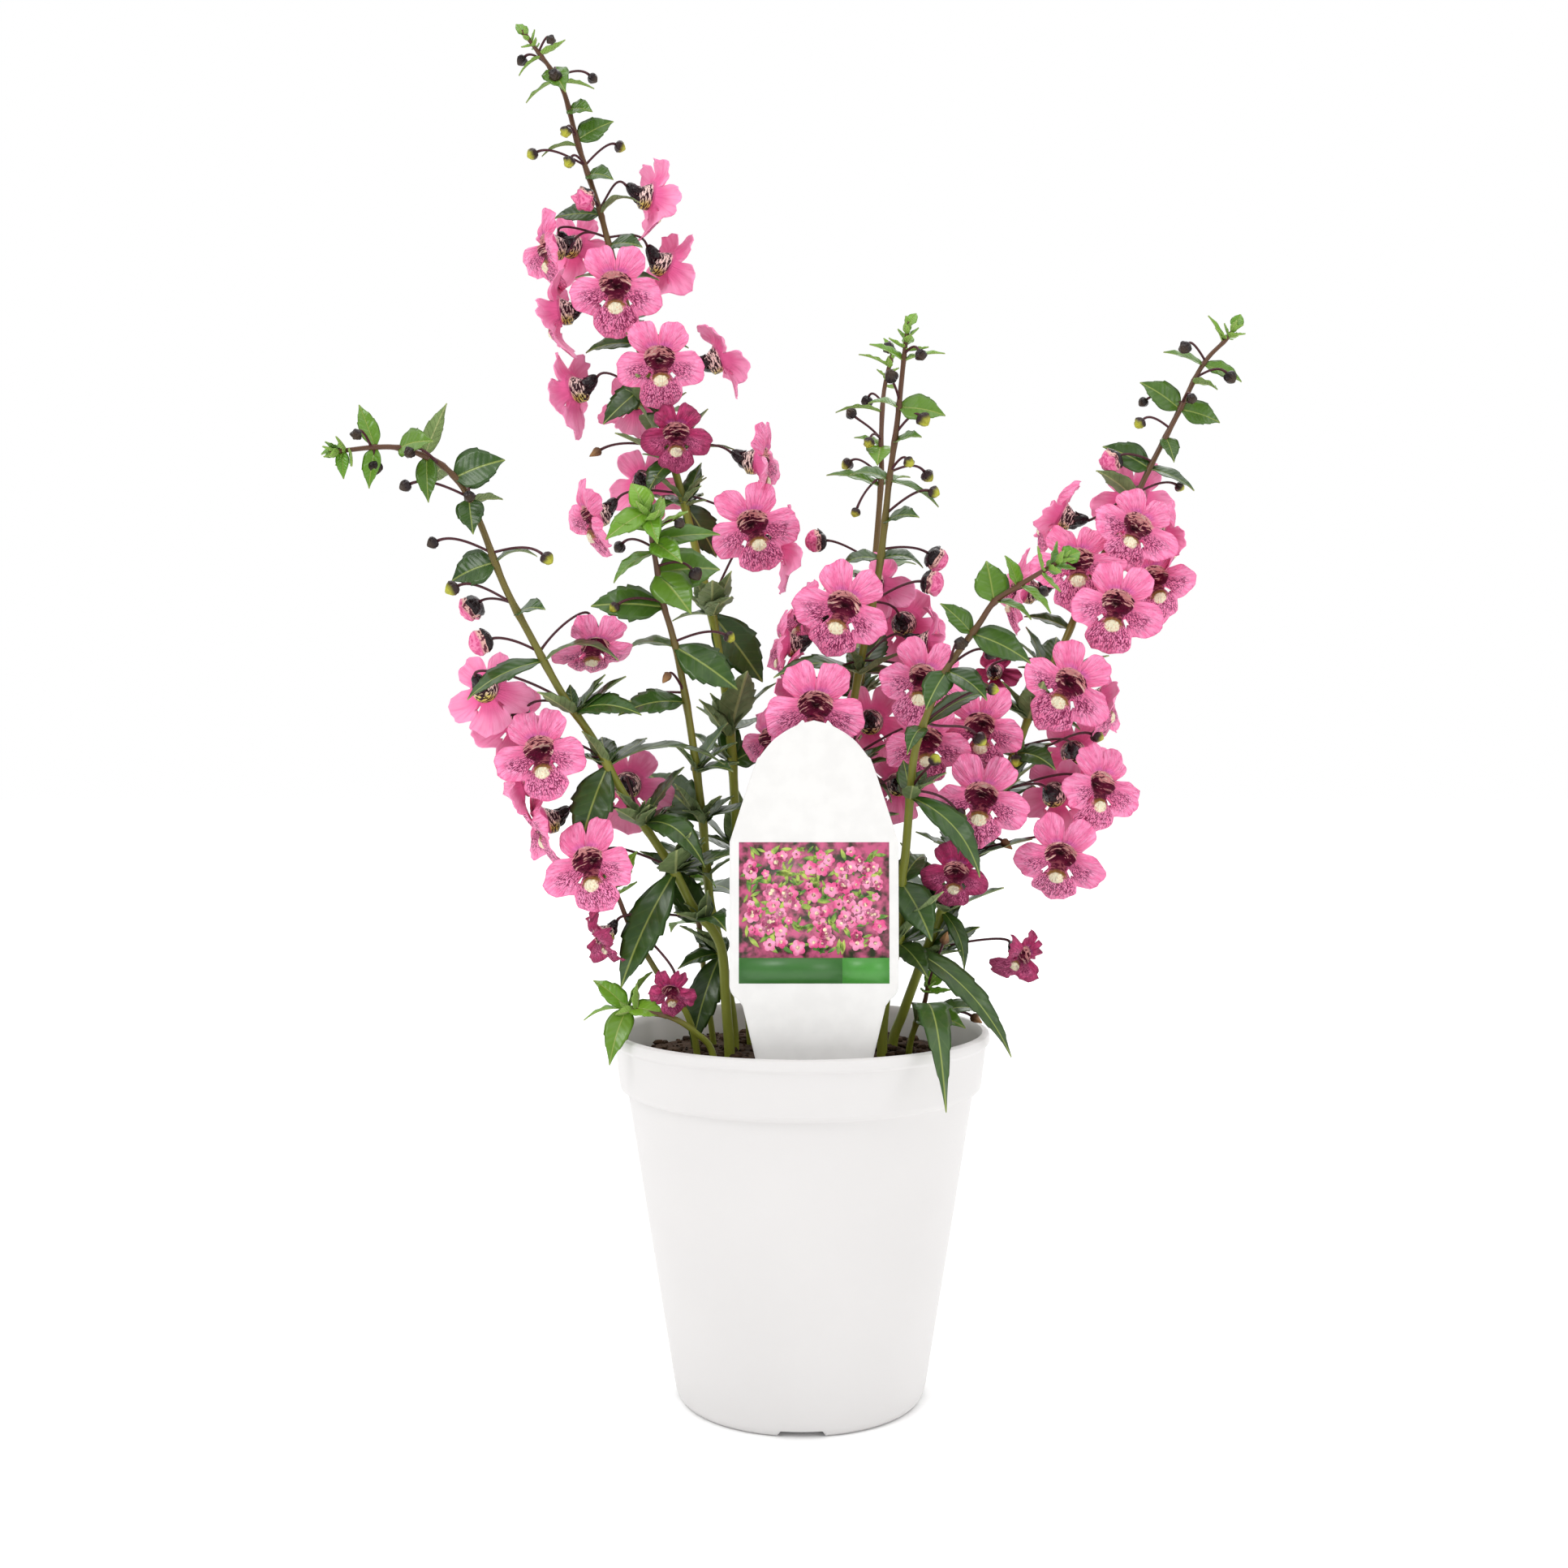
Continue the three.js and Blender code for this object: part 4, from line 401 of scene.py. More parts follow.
# Leaves: points of base and tip, depth of the tip from the stem, width, bow, facing and, for some, a move
LEAF_PICKS = {
    "a": [[646, 46, 635, 30, 2, 3, 0.6, 60], [664, 66, 697, 48, -2, 2.2, -0.6, -20],
        [666, 67, 637, 91, -2, 2.2, 1, 0], [679, 84, 698, 112, -9, 6.5, 1.5, 70],
        [686, 98, 648, 127, 1, 3.4, 1, 20], [688, 98, 733, 106, 1, 2.2, 1, 0],
        [701, 136, 731, 139, -4, 6, 1.2, 60], [713, 174, 757, 151, 1, 6.6, 1, 70],
        [714, 176, 667, 190, -1, 2.6, 2, 5], [725, 216, 756, 222, -5, 6, 1.5, 60],
        [740, 261, 682, 266, 0, 6.5, 1.5, 55], [740, 261, 799, 253, 2, 4.5, 4, 10],
        [752, 300, 792, 302, -7, 7, 1.5, 50], [767, 350, 712, 342, 4, 6, 2, 20],
        [767, 350, 815, 345, 3, 6.5, 2, 30], [780, 392, 772, 398, -11, 7, 2, 50],
        [780, 392, 792, 384, 12, 7, 2, 0], [788, 422, 722, 432, 2, 6.5, 2, 40],
        [788, 422, 850, 426, 4, 6.5, 2, 30], [802, 470, 745, 520, -4, 7, 1.5, 60],
        [812, 515, 790, 520, 14, 8, 2, 10, [4, -5, -6.5]], [825, 565, 797, 606, -4, 6.5, 2, 30],
        [825, 565, 905, 550, 3, 3.6, 3, 0], [844, 623, 804, 640, -4, 5, 2.5, 20],
        [844, 623, 882, 690, 6, 8, 2, 60], [877, 760, 828, 767, 4, 3.4, 1.5, 10],
        [877, 760, 941, 844, 3, 10, 2, 65], [900, 911, 958, 847, 2, 5, 2, 0],
        [903, 945, 939, 919, 4, 9, 2, 40], [909, 1047, 891, 958, 4, 7, 1, -50],
        [912, 1100, 962, 1110, -5, 8, 3, 40], [912, 1100, 860, 1110, 14, 8, 4, 20],
        [917, 1175, 948, 1225, 10, 7, 3, 30]],
    "b": [[413, 557, 393, 556, 0, 3, 0.5, 40], [420, 557, 421, 589, -1, 3, 0.6, 50],
        [462, 549, 442, 497, 1, 4.2, 0.8, 40], [463, 552, 456, 599, -1, 4, 1, 50],
        [492, 551, 534, 543, -5, 7, 1.5, 65], [522, 561, 550, 497, 3, 4, 0.8, -40],
        [524, 562, 525, 618, -3, 4.6, 1.2, 60], [546, 575, 522, 600, 6, 6, 1, -30],
        [562, 590, 623, 569, 1, 9.5, 1.5, 70], [579, 617, 584, 660, -5, 6, 1, 50],
        [580, 618, 619, 614, 4, 3.6, 1, -30], [610, 690, 556, 714, 1, 9, 1.5, 60],
        [611, 692, 662, 684, 2, 5, 3, 10], [640, 755, 673, 750, -6, 7, 1.5, 40],
        [672, 818, 766, 798, 1, 7, 6, 10], [672, 818, 577, 866, -2, 7, 3, 30],
        [708, 876, 782, 913, -5, 7, 4, 40], [752, 944, 895, 943, 4, 6, 7, 10],
        [750, 945, 721, 1046, -5, 9, 3, 50], [794, 1012, 870, 1066, -8, 7, 9, 40],
        [834, 1078, 767, 1220, -6, 8.5, 5, 50], [834, 1078, 880, 1090, 10, 7, 3, 20],
        [870, 1140, 905, 1150, -12, 7, 4, 40]],
    "c": [[795, 627, 775, 595, 2, 6, 1, 50], [796, 632, 745, 667, -3, 6, 1.5, 60],
        [796, 634, 809, 669, -5, 5, 1.2, 60], [803, 678, 754, 715, -2, 6, 2, 20],
        [801, 665, 838, 691, -6, 6, 1.2, 60], [801, 665, 886, 656, 1, 6, 1.5, 50],
        [809, 708, 850, 758, -6, 9, 1.5, 60], [809, 708, 886, 703, 4, 11, 2, 60],
        [817, 749, 734, 781, -3, 9, 2, 60], [832, 798, 908, 850, -4, 9, 2, 60],
        [832, 797, 764, 815, 1, 6, 3, 20], [844, 864, 771, 944, -6, 9, 3, 40],
        [857, 950, 925, 950, -3, 7, 2, 20], [866, 1010, 792, 931, 6, 10, 2, 60, [0, 4, 0]],
        [872, 1075, 800, 1100, 6, 7, 3, 20], [886, 1177, 835, 1195, -6, 5, 2, 30],
        [887, 1180, 862, 1298, -9, 7, 6, 50]],
    "d1": [[1118, 400, 1127, 384, 3, 3, 0.5, 40], [1114, 444, 1072, 424, 0, 3.6, 0.8, 30],
        [1114, 446, 1164, 438, 0, 3, 1, 20], [1108, 503, 1069, 498, 1, 5, 1.5, 20],
        [1108, 503, 1165, 512, -1, 7.5, 1.5, 60], [1101, 544, 1136, 537, -6, 5, 1.2, 40],
        [1097, 589, 1049, 581, 2, 5.6, 2, 30], [1097, 590, 1158, 623, -1, 4, 2, 20],
        [1089, 643, 1131, 637, -8, 7, 2, 40], [1082, 690, 1030, 705, 3, 6, 3, 30],
        [1082, 690, 1135, 700, 3, 6, 3, 30], [1072, 755, 1045, 742, 11, 7, 2, 10],
        [1060, 826, 905, 818, -2, 7, 5, 30, [2, -3, -3.5]], [1060, 826, 1140, 850, 8, 7, 4, 20],
        [1042, 950, 975, 925, 8, 8, 4, 20], [1042, 950, 1105, 975, 6, 8, 4, 20],
        [1034, 1020, 1030, 1010, 24, 8, 4, 10, [-5, -6, 0]], [1020, 1120, 1085, 1130, 9, 8, 4, 20]],
    "d2": [[1099, 432, 1090, 410, 1, 3, 0.5, 20], [1098, 449, 1059, 433, -1, 3.2, 0.8, 10],
        [1088, 508, 1031, 508, 0, 3.2, 2, 0], [1085, 549, 1053, 537, 4, 4, 1, 20],
        [1085, 550, 1080, 572, -8, 7, 1.5, 20], [1084, 604, 1017, 590, 0, 5, 2, 30],
        [1084, 604, 1120, 592, 7, 4, 1.5, 10], [1076, 712, 1015, 725, 5, 6, 3, 20],
        [1076, 712, 1128, 695, 7, 6, 3, 20], [1068, 785, 1055, 795, 14, 8, 3, 10],
        [1058, 860, 990, 860, 7, 8, 4, 20], [1045, 945, 1050, 940, 20, 8, 4, 10],
        [1026, 1130, 1010, 1120, 22, 8, 4, 10]],
    "e": [[1315, 688, 1335, 680, 1, 5, 0.8, 60], [1258, 722, 1241, 684, 0, 3.8, 0.8, 30],
        [1259, 722, 1296, 757, -1, 3.8, 1, 20], [1228, 743, 1218, 693, 1, 7.5, 0.8, 60],
        [1229, 743, 1271, 766, -2, 4, 1.5, 20], [1197, 778, 1159, 741, 0, 5.5, 1, 50],
        [1197, 778, 1269, 816, -1, 8, 2, 55], [1165, 825, 1216, 861, -4, 8, 2, 30],
        [1165, 825, 1139, 872, -5, 6.5, 1.5, 40], [1136, 896, 1225, 868, 4, 5.5, 3, 30],
        [1136, 896, 1092, 935, -2, 5, 3, 30], [1120, 984, 1206, 1083, -3, 7, 8, 40],
        [1113, 1087, 1132, 1168, -6, 8.5, 3, 55], [1113, 1087, 1148, 1040, 8, 7, 2, 20],
        [1106, 1160, 1247, 1303, -8, 6, 10, 40], [1106, 1160, 1143, 1205, -12, 7, 2, 20]],
    "f": [[1522, 402, 1530, 384, 1, 3.4, 0.5, 50], [1508, 421, 1491, 389, 0, 2.4, 0.6, 20],
        [1484, 448, 1436, 431, 0, 4.4, 1, 30], [1484, 448, 1531, 470, 0, 5.4, 1.2, 50],
        [1470, 471, 1502, 479, -6, 5, 1.2, -20], [1455, 505, 1407, 473, 0, 7.8, 1.2, 60],
        [1455, 506, 1504, 522, 0, 7.4, 1.2, 60], [1438, 537, 1450, 568, -7, 4.5, 1, 30],
        [1418, 577, 1361, 549, 0, 8, 1.5, 60], [1419, 576, 1474, 602, 0, 6, 1.5, 30],
        [1398, 614, 1350, 580, -5, 6, 1.5, -20], [1344, 715, 1395, 732, 5, 7, 2, 30],
        [1318, 777, 1265, 750, 4, 5, 1.5, 30], [1291, 832, 1247, 858, 5, 7, 1.5, 30],
        [1266, 887, 1192, 884, -2, 7, 2.5, 20], [1266, 887, 1330, 900, 4, 8, 3, 30],
        [1250, 930, 1300, 950, -9, 8, 3, 40], [1222, 987, 1288, 985, 6, 8, 3, 20],
        [1190, 1060, 1185, 1050, 18, 8, 3, 10], [1162, 1120, 1189, 1194, -4, 4, 6, 30],
        [1137, 1185, 1190, 1212, 12, 8, 4, 20]],
    "g": [[755, 1092, 762, 1040, 1, 4, 1, 40, [-3, -4, -3.5]], [755, 1092, 735, 1062, 2, 4, 1, 30],
        [755, 1092, 783, 1047, -2, 5, 1, 50], [775, 1135, 810, 1108, 3, 5, 2, 40, [0, 1, -4]]],
    "h": [[768, 1243, 727, 1209, 2, 5, 1.5, 40], [770, 1243, 796, 1192, 3, 6, 1, -30],
        [768, 1243, 745, 1313, -9, 6, 4, 50], [775, 1245, 822, 1257, -4, 6, 2, 30],
        [768, 1243, 714, 1257, 0, 2.6, 2, 0]],
    "i": [[1128, 1262, 1123, 1371, -54, 7, 20, 0], [1145, 1213, 1170, 1190, 4, 5, 1.5, 30],
        [1130, 1255, 1188, 1268, -12, 8, 3, 40], [1128, 1260, 1222, 1250, 4, 6, 4, 20]],
    "j": [[850, 1071, 872, 1048, 4, 5, 1, 30], [851, 1080, 815, 1085, -3, 5, 2, 30],
        [851, 1080, 882, 1092, 4, 5, 2, 30], [860, 1140, 825, 1150, 12, 7, 3, 20]],
}


# Places of the plant, worked out from points of the photograph

def seen_at(x, y, depth):
    """A photographed point in millimetres, at its depth from the pot's axis."""
    across = (x - PHOTO_MIDDLE) / PHOTO_FOCAL
    up = (PHOTO_MIDDLE - y) / PHOTO_FOCAL
    ahead = math.cos(EYE_TILT) + up * math.sin(EYE_TILT)
    climb = up * math.cos(EYE_TILT) - math.sin(EYE_TILT)
    reach = (depth - EYE[1]) / ahead
    return np.array([EYE[0] + across * reach, depth, EYE[2] + climb * reach])


def rounded(place, step, move=(0, 0, 0)):
    """A place in whole steps, after which it may be moved."""
    return [math.floor(value / step + 0.5) * step + shift for value, shift in zip(place, move)]


def stem_depth(key, y):
    """Depth of a stem where it is seen at a height of the photograph."""
    picks = STEM_PICKS[key]
    for (_, low, start), (_, high, end) in zip(picks, picks[1:]):
        if (high - y) * (low - y) <= 0:
            return start + (y - low) / (high - low) * (end - start)
    return picks[-1][2]


def nearest_on_stem(key, x, y):
    """The spot on a stem nearest to a photographed point, with its place along the picks."""
    picks = STEM_PICKS[key]
    spots = []
    for i, (start, end) in enumerate(zip(picks, picks[1:])):
        way = [b - a for a, b in zip(start, end)]
        share = ((x - start[0]) * way[0] + (y - start[1]) * way[1]) / (way[0] ** 2 + way[1] ** 2)
        share = min(1, max(0, share))
        spot = [a + share * step for a, step in zip(start, way)]
        miss = (spot[0] - x) ** 2 + (spot[1] - y) ** 2
        spots.append((miss, i + share, spot))
    _, place, spot = min(spots, key=lambda row: row[0])
    return place, spot


def stem_route(picks):
    """A stem's route in millimetres, with a first point at the root's depth in the soil."""
    route = [rounded(seen_at(*pick), PLACE_STEP) for pick in picks]
    return np.array([[route[0][0], route[0][1], ROOT_LEVEL]] + route, float)


def bloom_row(key, node, x, y, depth, azimuth, elevation, roll, size, move=(0, 0, 0)):
    place = rounded(seen_at(x, y, stem_depth(key, y) + depth), PLACE_STEP, move)
    return [key, node, *place, azimuth, elevation, roll, size]


def bud_row(key, x, y, depth, kind, move=(0, 0, 0)):
    place = rounded(seen_at(x, y, stem_depth(key, y) + depth), PLACE_STEP, move)
    return [*place, kind]


def leaf_row(key, base_x, base_y, tip_x, tip_y, depth, width, bow, face, move=(0, 0, 0)):
    """A leaf's place along its route, its run from base to tip, and its width, bow and facing."""
    place, spot = nearest_on_stem(key, base_x, base_y)
    run = seen_at(tip_x, tip_y, spot[2] + depth) - seen_at(*spot)
    return [round(place + 1, 1), *rounded(run, RUN_STEP, move), width, bow, face]


STEMS = {key: stem_route(picks) for key, picks in STEM_PICKS.items()}
BLOOMS = [bloom_row(*pick) for pick in BLOOM_PICKS]
BUDS = {key: [bud_row(key, *pick) for pick in picks] for key, picks in BUD_PICKS.items()}
LEAVES = {key: [leaf_row(key, *pick) for pick in picks] for key, picks in LEAF_PICKS.items()}


# Numbers and curves

def drawer(seed):
    """Repeatable draws between 0 and 1."""
    state = seed

    def draw():
        nonlocal state
        state = state * DRAW_FACTOR % DRAW_RANGE
        return state / DRAW_RANGE

    return draw


def unit(v):
    return v / np.linalg.norm(v)


def turned(v, axis, angle):
    """v turned about a unit axis."""
    return (
        v * math.cos(angle) + np.cross(axis, v) * math.sin(angle)
        + axis * np.dot(axis, v) * (1 - math.cos(angle))
    )


def full_turn(count):
    """Angles in equal steps once round."""
    return 2 * math.pi * np.arange(count) / count


def circle(radius, z, angles, centre=(0, 0)):
    return [[centre[0] + radius * math.cos(a), centre[1] + radius * math.sin(a), z] for a in angles]


def bezier(controls, t):
    """Points of a Bezier curve at the parameters t."""
    t = np.asarray(t, float)[:, None]
    rows = [np.asarray(c, float)[None, :] * np.ones_like(t) for c in controls]
    while len(rows) > 1:
        rows = [a + (b - a) * t for a, b in zip(rows, rows[1:])]
    return rows[0]


def smooth_path(points, per_step, closed=False):
    """A curve through all the points, with per_step points for each step between two of them."""
    points = np.asarray(points, float)
    if closed:
        padded = np.vstack([points[-1:], points, points[:2]])
    else:
        padded = np.vstack([2 * points[:1] - points[1:2], points, 2 * points[-1:] - points[-2:-1]])
    made = []
    for p0, p1, p2, p3 in zip(padded, padded[1:], padded[2:], padded[3:]):
        for s in np.arange(per_step) / per_step:
            made.append(0.5 * (
                2 * p1 + (p2 - p0) * s + (2 * p0 - 5 * p1 + 4 * p2 - p3) * s ** 2
                + (3 * p1 - p0 - 3 * p2 + p3) * s ** 3
            ))
    if not closed:
        made.append(points[-1])
    return np.array(made)


# Pieces

def linked(name, data):
    """A new object in the scene."""
    made = bpy.data.objects.new(name, data)
    bpy.context.scene.collection.objects.link(made)
    return made


def lofted(rings, caps=True):
    """Points and faces of a skin over rings of equal length; each cap ends in its ring's middle."""
    rings = [np.asarray(ring, float) for ring in rings]
    count = len(rings[0])
    last = (len(rings) - 1) * count
    points = np.vstack(rings)
    faces = []
    for a in range(0, last, count):
        for j in range(count):
            k = (j + 1) % count
            faces.append([a + j, a + k, a + count + k, a + count + j])
    if caps:
        for ring, at, turn in ((rings[0], 0, -1), (rings[-1], last, 1)):
            faces += [[len(points)] + [at + j, at + (j + 1) % count][::turn] for j in range(count)]
            points = np.vstack([points, ring.mean(0)])
    return points, faces


class Skin:
    """Closed shells gathered in one mesh, with marks and shades that the materials read."""

    def __init__(self):
        self.points, self.faces, self.paints, self.marks, self.shades = [], [], [], [], []
        self.count = 0

    def shell(self, points, faces, paints, marks, shade=0.5):
        """Adds one closed shell, and turns its faces outward."""
        volume = 0.0
        for face in faces:
            a, b, c = points[face[0]], points[face[1]], points[face[2]]
            volume += np.dot(a, np.cross(b, c))
            if len(face) == 4:
                volume += np.dot(a, np.cross(c, points[face[3]]))
        if volume < 0:
            faces = [face[::-1] for face in faces]
        self.points.append(points)
        self.faces.extend([[i + self.count for i in face] for face in faces])
        self.paints.extend(paints)
        self.marks.append(marks)
        self.shades.append(np.full(len(points), shade))
        self.count += len(points)

    def solid(self, rings, paint=0, shade=0.5):
        """Adds a closed shell over rings, in one paint and without marks."""
        points, faces = lofted(rings)
        self.shell(points, faces, [paint] * len(faces), np.zeros(points.shape), shade)

    def tube(self, path, radii, sides, paint, share):
        """Adds a closed tube, marked with its share of the way, the place around it and its height."""
        points, faces = lofted(tube_rings(path, radii, sides))
        ends = np.column_stack([share, np.zeros(len(path)), path[:, 2] / 10])
        marks = np.repeat(ends, sides, axis=0)
        marks[:, 1] = np.tile(np.arange(sides) / sides, len(path))
        self.shell(points, faces, [paint] * len(faces), np.vstack([marks, ends[0], ends[-1]]))

    def piece(self, name, materials, node, slot):
        """Makes the object, which rides on the plant's body and stands for its node."""
        mesh = bpy.data.meshes.new(name)
        mesh.from_pydata((np.vstack(self.points) * MM).tolist(), [], self.faces)
        mesh.polygons.foreach_set("material_index", self.paints)
        mesh.polygons.foreach_set("use_smooth", [True] * len(self.faces))
        mark = mesh.attributes.new("mark", "FLOAT_VECTOR", "POINT")
        mark.data.foreach_set("vector", np.vstack(self.marks).astype(np.float32).ravel())
        shade = mesh.attributes.new("shade", "FLOAT", "POINT")
        shade.data.foreach_set("value", np.concatenate(self.shades).astype(np.float32))
        for material in materials:
            mesh.materials.append(material)
        mesh.update()
        made = linked(name, mesh)
        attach(made, "root")
        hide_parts(node)
        return made


def tube_rings(path, radii, sides):
    """Rings square to a path, carried along it without twist."""
    tangents = np.gradient(path, axis=0)
    tangents /= np.linalg.norm(tangents, axis=1)[:, None]
    side = np.array([0, 1.0, 0]) if abs(tangents[0][1]) < 0.8 else np.array([1.0, 0, 0])
    angles = full_turn(sides)
    rings = []
    for centre, along, radius in zip(path, tangents, radii):
        side = unit(side - along * np.dot(side, along))
        other = np.cross(along, side)
        rings.append(centre + radius * (np.outer(np.cos(angles), side) + np.outer(np.sin(angles), other)))
    return rings


# Where everything grows

def along_stem(route, u):
    """Point on a stem, where a whole number is a point of its route."""
    place = min(u, len(route) - 1 - TIP_MARGIN)
    i = math.floor(place)
    return route[i] + (route[i + 1] - route[i]) * (place - i)


def joints_of(key):
    """The places along a stem where leaves grow."""
    return sorted({row[0] for row in LEAVES[key]})


def flower_frame(row):
    """Places on a flower: to its right, up and out of its face."""
    x, y, z, azimuth, elevation, roll, size = row[2:]
    az, el, turn = (math.radians(v) for v in (azimuth, elevation, roll))
    face = np.array([math.sin(az) * math.cos(el), -math.cos(az) * math.cos(el), math.sin(el)])
    flat_right = unit(np.cross([0, 0, 1], face))
    up = np.cross(face, flat_right) * math.cos(turn) + flat_right * math.sin(turn)
    right = np.cross(up, face)
    basis = np.array([right, up, face]) * (size / FLOWER_SIZE)
    centre = np.array([x, y, z], float)
    return lambda places: centre + np.asarray(places, float) @ basis


def polar(degrees, radius, z):
    """A place on a flower's face, with the angle taken from straight up."""
    angle = math.radians(degrees)
    return [radius * math.sin(angle), radius * math.cos(angle), z]


class Obstacles:
    """Balls along everything already placed, each with the part that it belongs to."""

    def __init__(self):
        self.points, self.radii, self.owners = np.zeros((0, 3)), np.zeros(0), []

    def add(self, points, radius, owner):
        points = np.asarray(points, float).reshape(-1, 3)
        self.points = np.vstack([self.points, points])
        self.radii = np.concatenate([self.radii, np.full(len(points), radius)])
        self.owners += [owner] * len(points)

    def add_flower(self, row):
        place = flower_frame(row)
        petals = [
            polar(angle + turn, r * FLOWER_SIZE, z * PETAL_TEST_BULGE)
            for angle, z in LOBE_CENTRES for r, turn in PETAL_TEST_SPOTS
        ]
        self.add(place(petals), PETAL_REACH, "flower")
        self.add(place(POUCH_TEST_SPOT), POUCH_REACH * row[8] / FLOWER_SIZE, "flower")
        self.add(place(CALYX_TEST_SPOT), CALYX_REACH, "flower")

    def clear(self, points, reach, owner):
        if any(pot_reach(p) < reach or tag_distance(p) < reach for p in points):
            return False
        foreign = np.array([o != owner for o in self.owners])
        gaps = np.linalg.norm(points[:, None, :] - self.points[foreign][None], axis=2)
        return bool(np.all(gaps > self.radii[foreign] + reach))

    def take(self, leaf, owner):
        """Fills the leaf's space, if that passes everything else."""
        corners = leaf_corners(leaf)
        passes = self.clear(corners, PASSING_GAP, owner)
        if passes:
            self.add(corners, LEAF_REACH, owner)
        return passes


def pot_reach(p):
    """Distance from the pot and its soil, roughly."""
    r = math.hypot(p[0], p[1])
    if r < SOIL_RADIUS + 1 and p[2] > SOIL_TOP / 2:
        return p[2] - SOIL_TOP - SOIL_ROUGHNESS
    wall = RIM_RADIUS if p[2] > STEP_HEIGHT - 1 else STEP_RADIUS
    return max(r - wall, p[2] - POT_HEIGHT)


def tag_distance(p):
    x, y, z = turned(p - TAG_FOOT, np.array([1.0, 0, 0]), TAG_LEAN)
    if z > TAG_HEIGHT:
        return z - TAG_HEIGHT
    if abs(x) > TAG_HALF_WIDTH:
        return abs(x) - TAG_HALF_WIDTH
    return abs(y) - TAG_THICKNESS / 2


def nearest_joint(key, target):
    """The joint that a stalk to the target most likely leaves: a little below it, and not far off."""
    joints = [along_stem(STEMS[key], u + STALK_SHIFT) for u in dict.fromkeys(row[0] for row in LEAVES[key])]

    def miss(p):
        level = math.hypot(p[0] - target[0], p[1] - target[1])
        return abs(p[2] - target[2] + STALK_SLOPE * level) + STALK_PULL * np.linalg.norm(p - target)

    return min(joints, key=miss)


def stalk_controls(start, end, arrive, bend):
    away = end - start
    aside = unit(np.array([-away[1], away[0], 0]))
    lead = start + away * STALK_LEAD + np.array([0, 0, STALK_LIFT + bend[1]]) + aside * bend[0]
    return [start, lead, arrive + aside * (bend[0] * STALK_END_BEND), end]


def clear_stalk(obstacles, key, start, end, arrive):
    """The controls of the first way whose middle part passes everything else, or else of the plain one."""
    chosen = stalk_controls(start, end, arrive, STALK_BENDS[0])
    for bend in STALK_BENDS:
        controls = stalk_controls(start, end, arrive, bend)
        if obstacles.clear(bezier(controls, np.arange(13) / 12)[2:-3], PATH_GAP, key):
            chosen = controls
            break
    obstacles.add(bezier(chosen, np.arange(9) / 8), STALK_REACH, key)
    return chosen


def turned_chord(chord, yaw, pitch, scale):
    level = np.array([-chord[1], chord[0], 0.0])
    if np.linalg.norm(level) < 0.1:
        level = np.array([1.0, 0, 0])
    pitched = turned(chord, unit(level), -math.radians(pitch))
    return turned(pitched, np.array([0, 0, 1.0]), math.radians(yaw)) * scale


def facing(lean):
    """The way that the upper side of a blade looks, turned from upward to the camera side."""
    lean = math.radians(lean)
    return np.array([0, -math.sin(lean) - LEAST_LEAN, math.cos(lean)])


def leaf_axes(leaf):
    """The blade's normal, near the wished direction, and its side."""
    along = unit(leaf["chord"])
    normal = unit(leaf["wish"] - along * np.dot(leaf["wish"], along))
    return normal, np.cross(along, normal)


def leaf_curve(leaf, normal):
    base, chord = leaf["base"], leaf["chord"]
    return [base, base + chord * 0.5 + normal * (leaf["bend"] * LEAF_BOW), base + chord]


def leaf_kind(leaf):
    length = np.linalg.norm(leaf["chord"])
    if length < SMALL_LEAF:
        return "small"
    return "medium" if length < LARGE_LEAF else "large"


def leaf_corners(leaf):
    """The corners that the clearance of a leaf is tested at."""
    normal, side = leaf_axes(leaf)
    kind = leaf_kind(leaf)
    rings = []
    for centre, share in zip(bezier(leaf_curve(leaf, normal), LEAF_CORNERS[kind]), CORNER_WIDTHS[kind]):
        half = max(LEAST_CORNER, share * leaf["width"] / 2)
        rings.append([
            centre + side * half + normal * LEAF_LIFT, centre - normal * LEAF_KEEL,
            centre - side * half + normal * LEAF_LIFT,
        ])
    rings = np.array(rings)
    tip = (leaf["base"] + leaf["chord"])[None]
    middles = (rings[:, 0] + rings[:, 2]) / 2
    between = ((rings[1:] + rings[:-1]) / 2).reshape(-1, 3)
    return np.vstack([rings.reshape(-1, 3), tip, middles, between])


def place_leaf(obstacles, key, row):
    """The first turned pose of a leaf that passes everything else, or None."""
    u, dx, dy, dz, width, bend, lean = row
    leaf = {"base": along_stem(STEMS[key], u), "bend": bend, "wish": facing(lean), "u": u}
    for yaw, pitch, scale in LEAF_TURNS:
        leaf["chord"] = turned_chord(np.array([dx, dy, dz], float), yaw, pitch, scale)
        leaf["width"] = width * math.sqrt(scale)
        if obstacles.take(leaf, key):
            return leaf
    return None


def tip_tuft(key, draw):
    """A rosette of young leaves round the end of a stem, the innermost upright."""
    route = STEMS[key]
    last = len(route) - 1
    number, longest = TIP_TUFTS[key]
    along = unit(route[-1] - route[-2])
    side = unit(np.cross(along, [0.2, 1, 0.1]))
    other = np.cross(along, side)
    made = []
    for k in range(number):
        share = k / (number - 1)
        turn = TUFT_TURN * k + 0.5 * draw()
        out = side * math.cos(turn) + other * math.sin(turn)
        opened = math.radians(12 + 62 * share + 8 * draw())
        heading = along * math.cos(opened) + out * math.sin(opened)
        length = longest * (0.42 + 0.58 * share) * (0.85 + 0.3 * draw())
        u = last - TIP_MARGIN - TUFT_LENGTH * share * min(1, last / 12)
        made.append({
            "base": along_stem(route, u), "chord": heading * length, "width": length * 0.5,
            "bend": -0.25 * length / 6, "wish": along - out * 0.4, "u": u,
        })
    return made


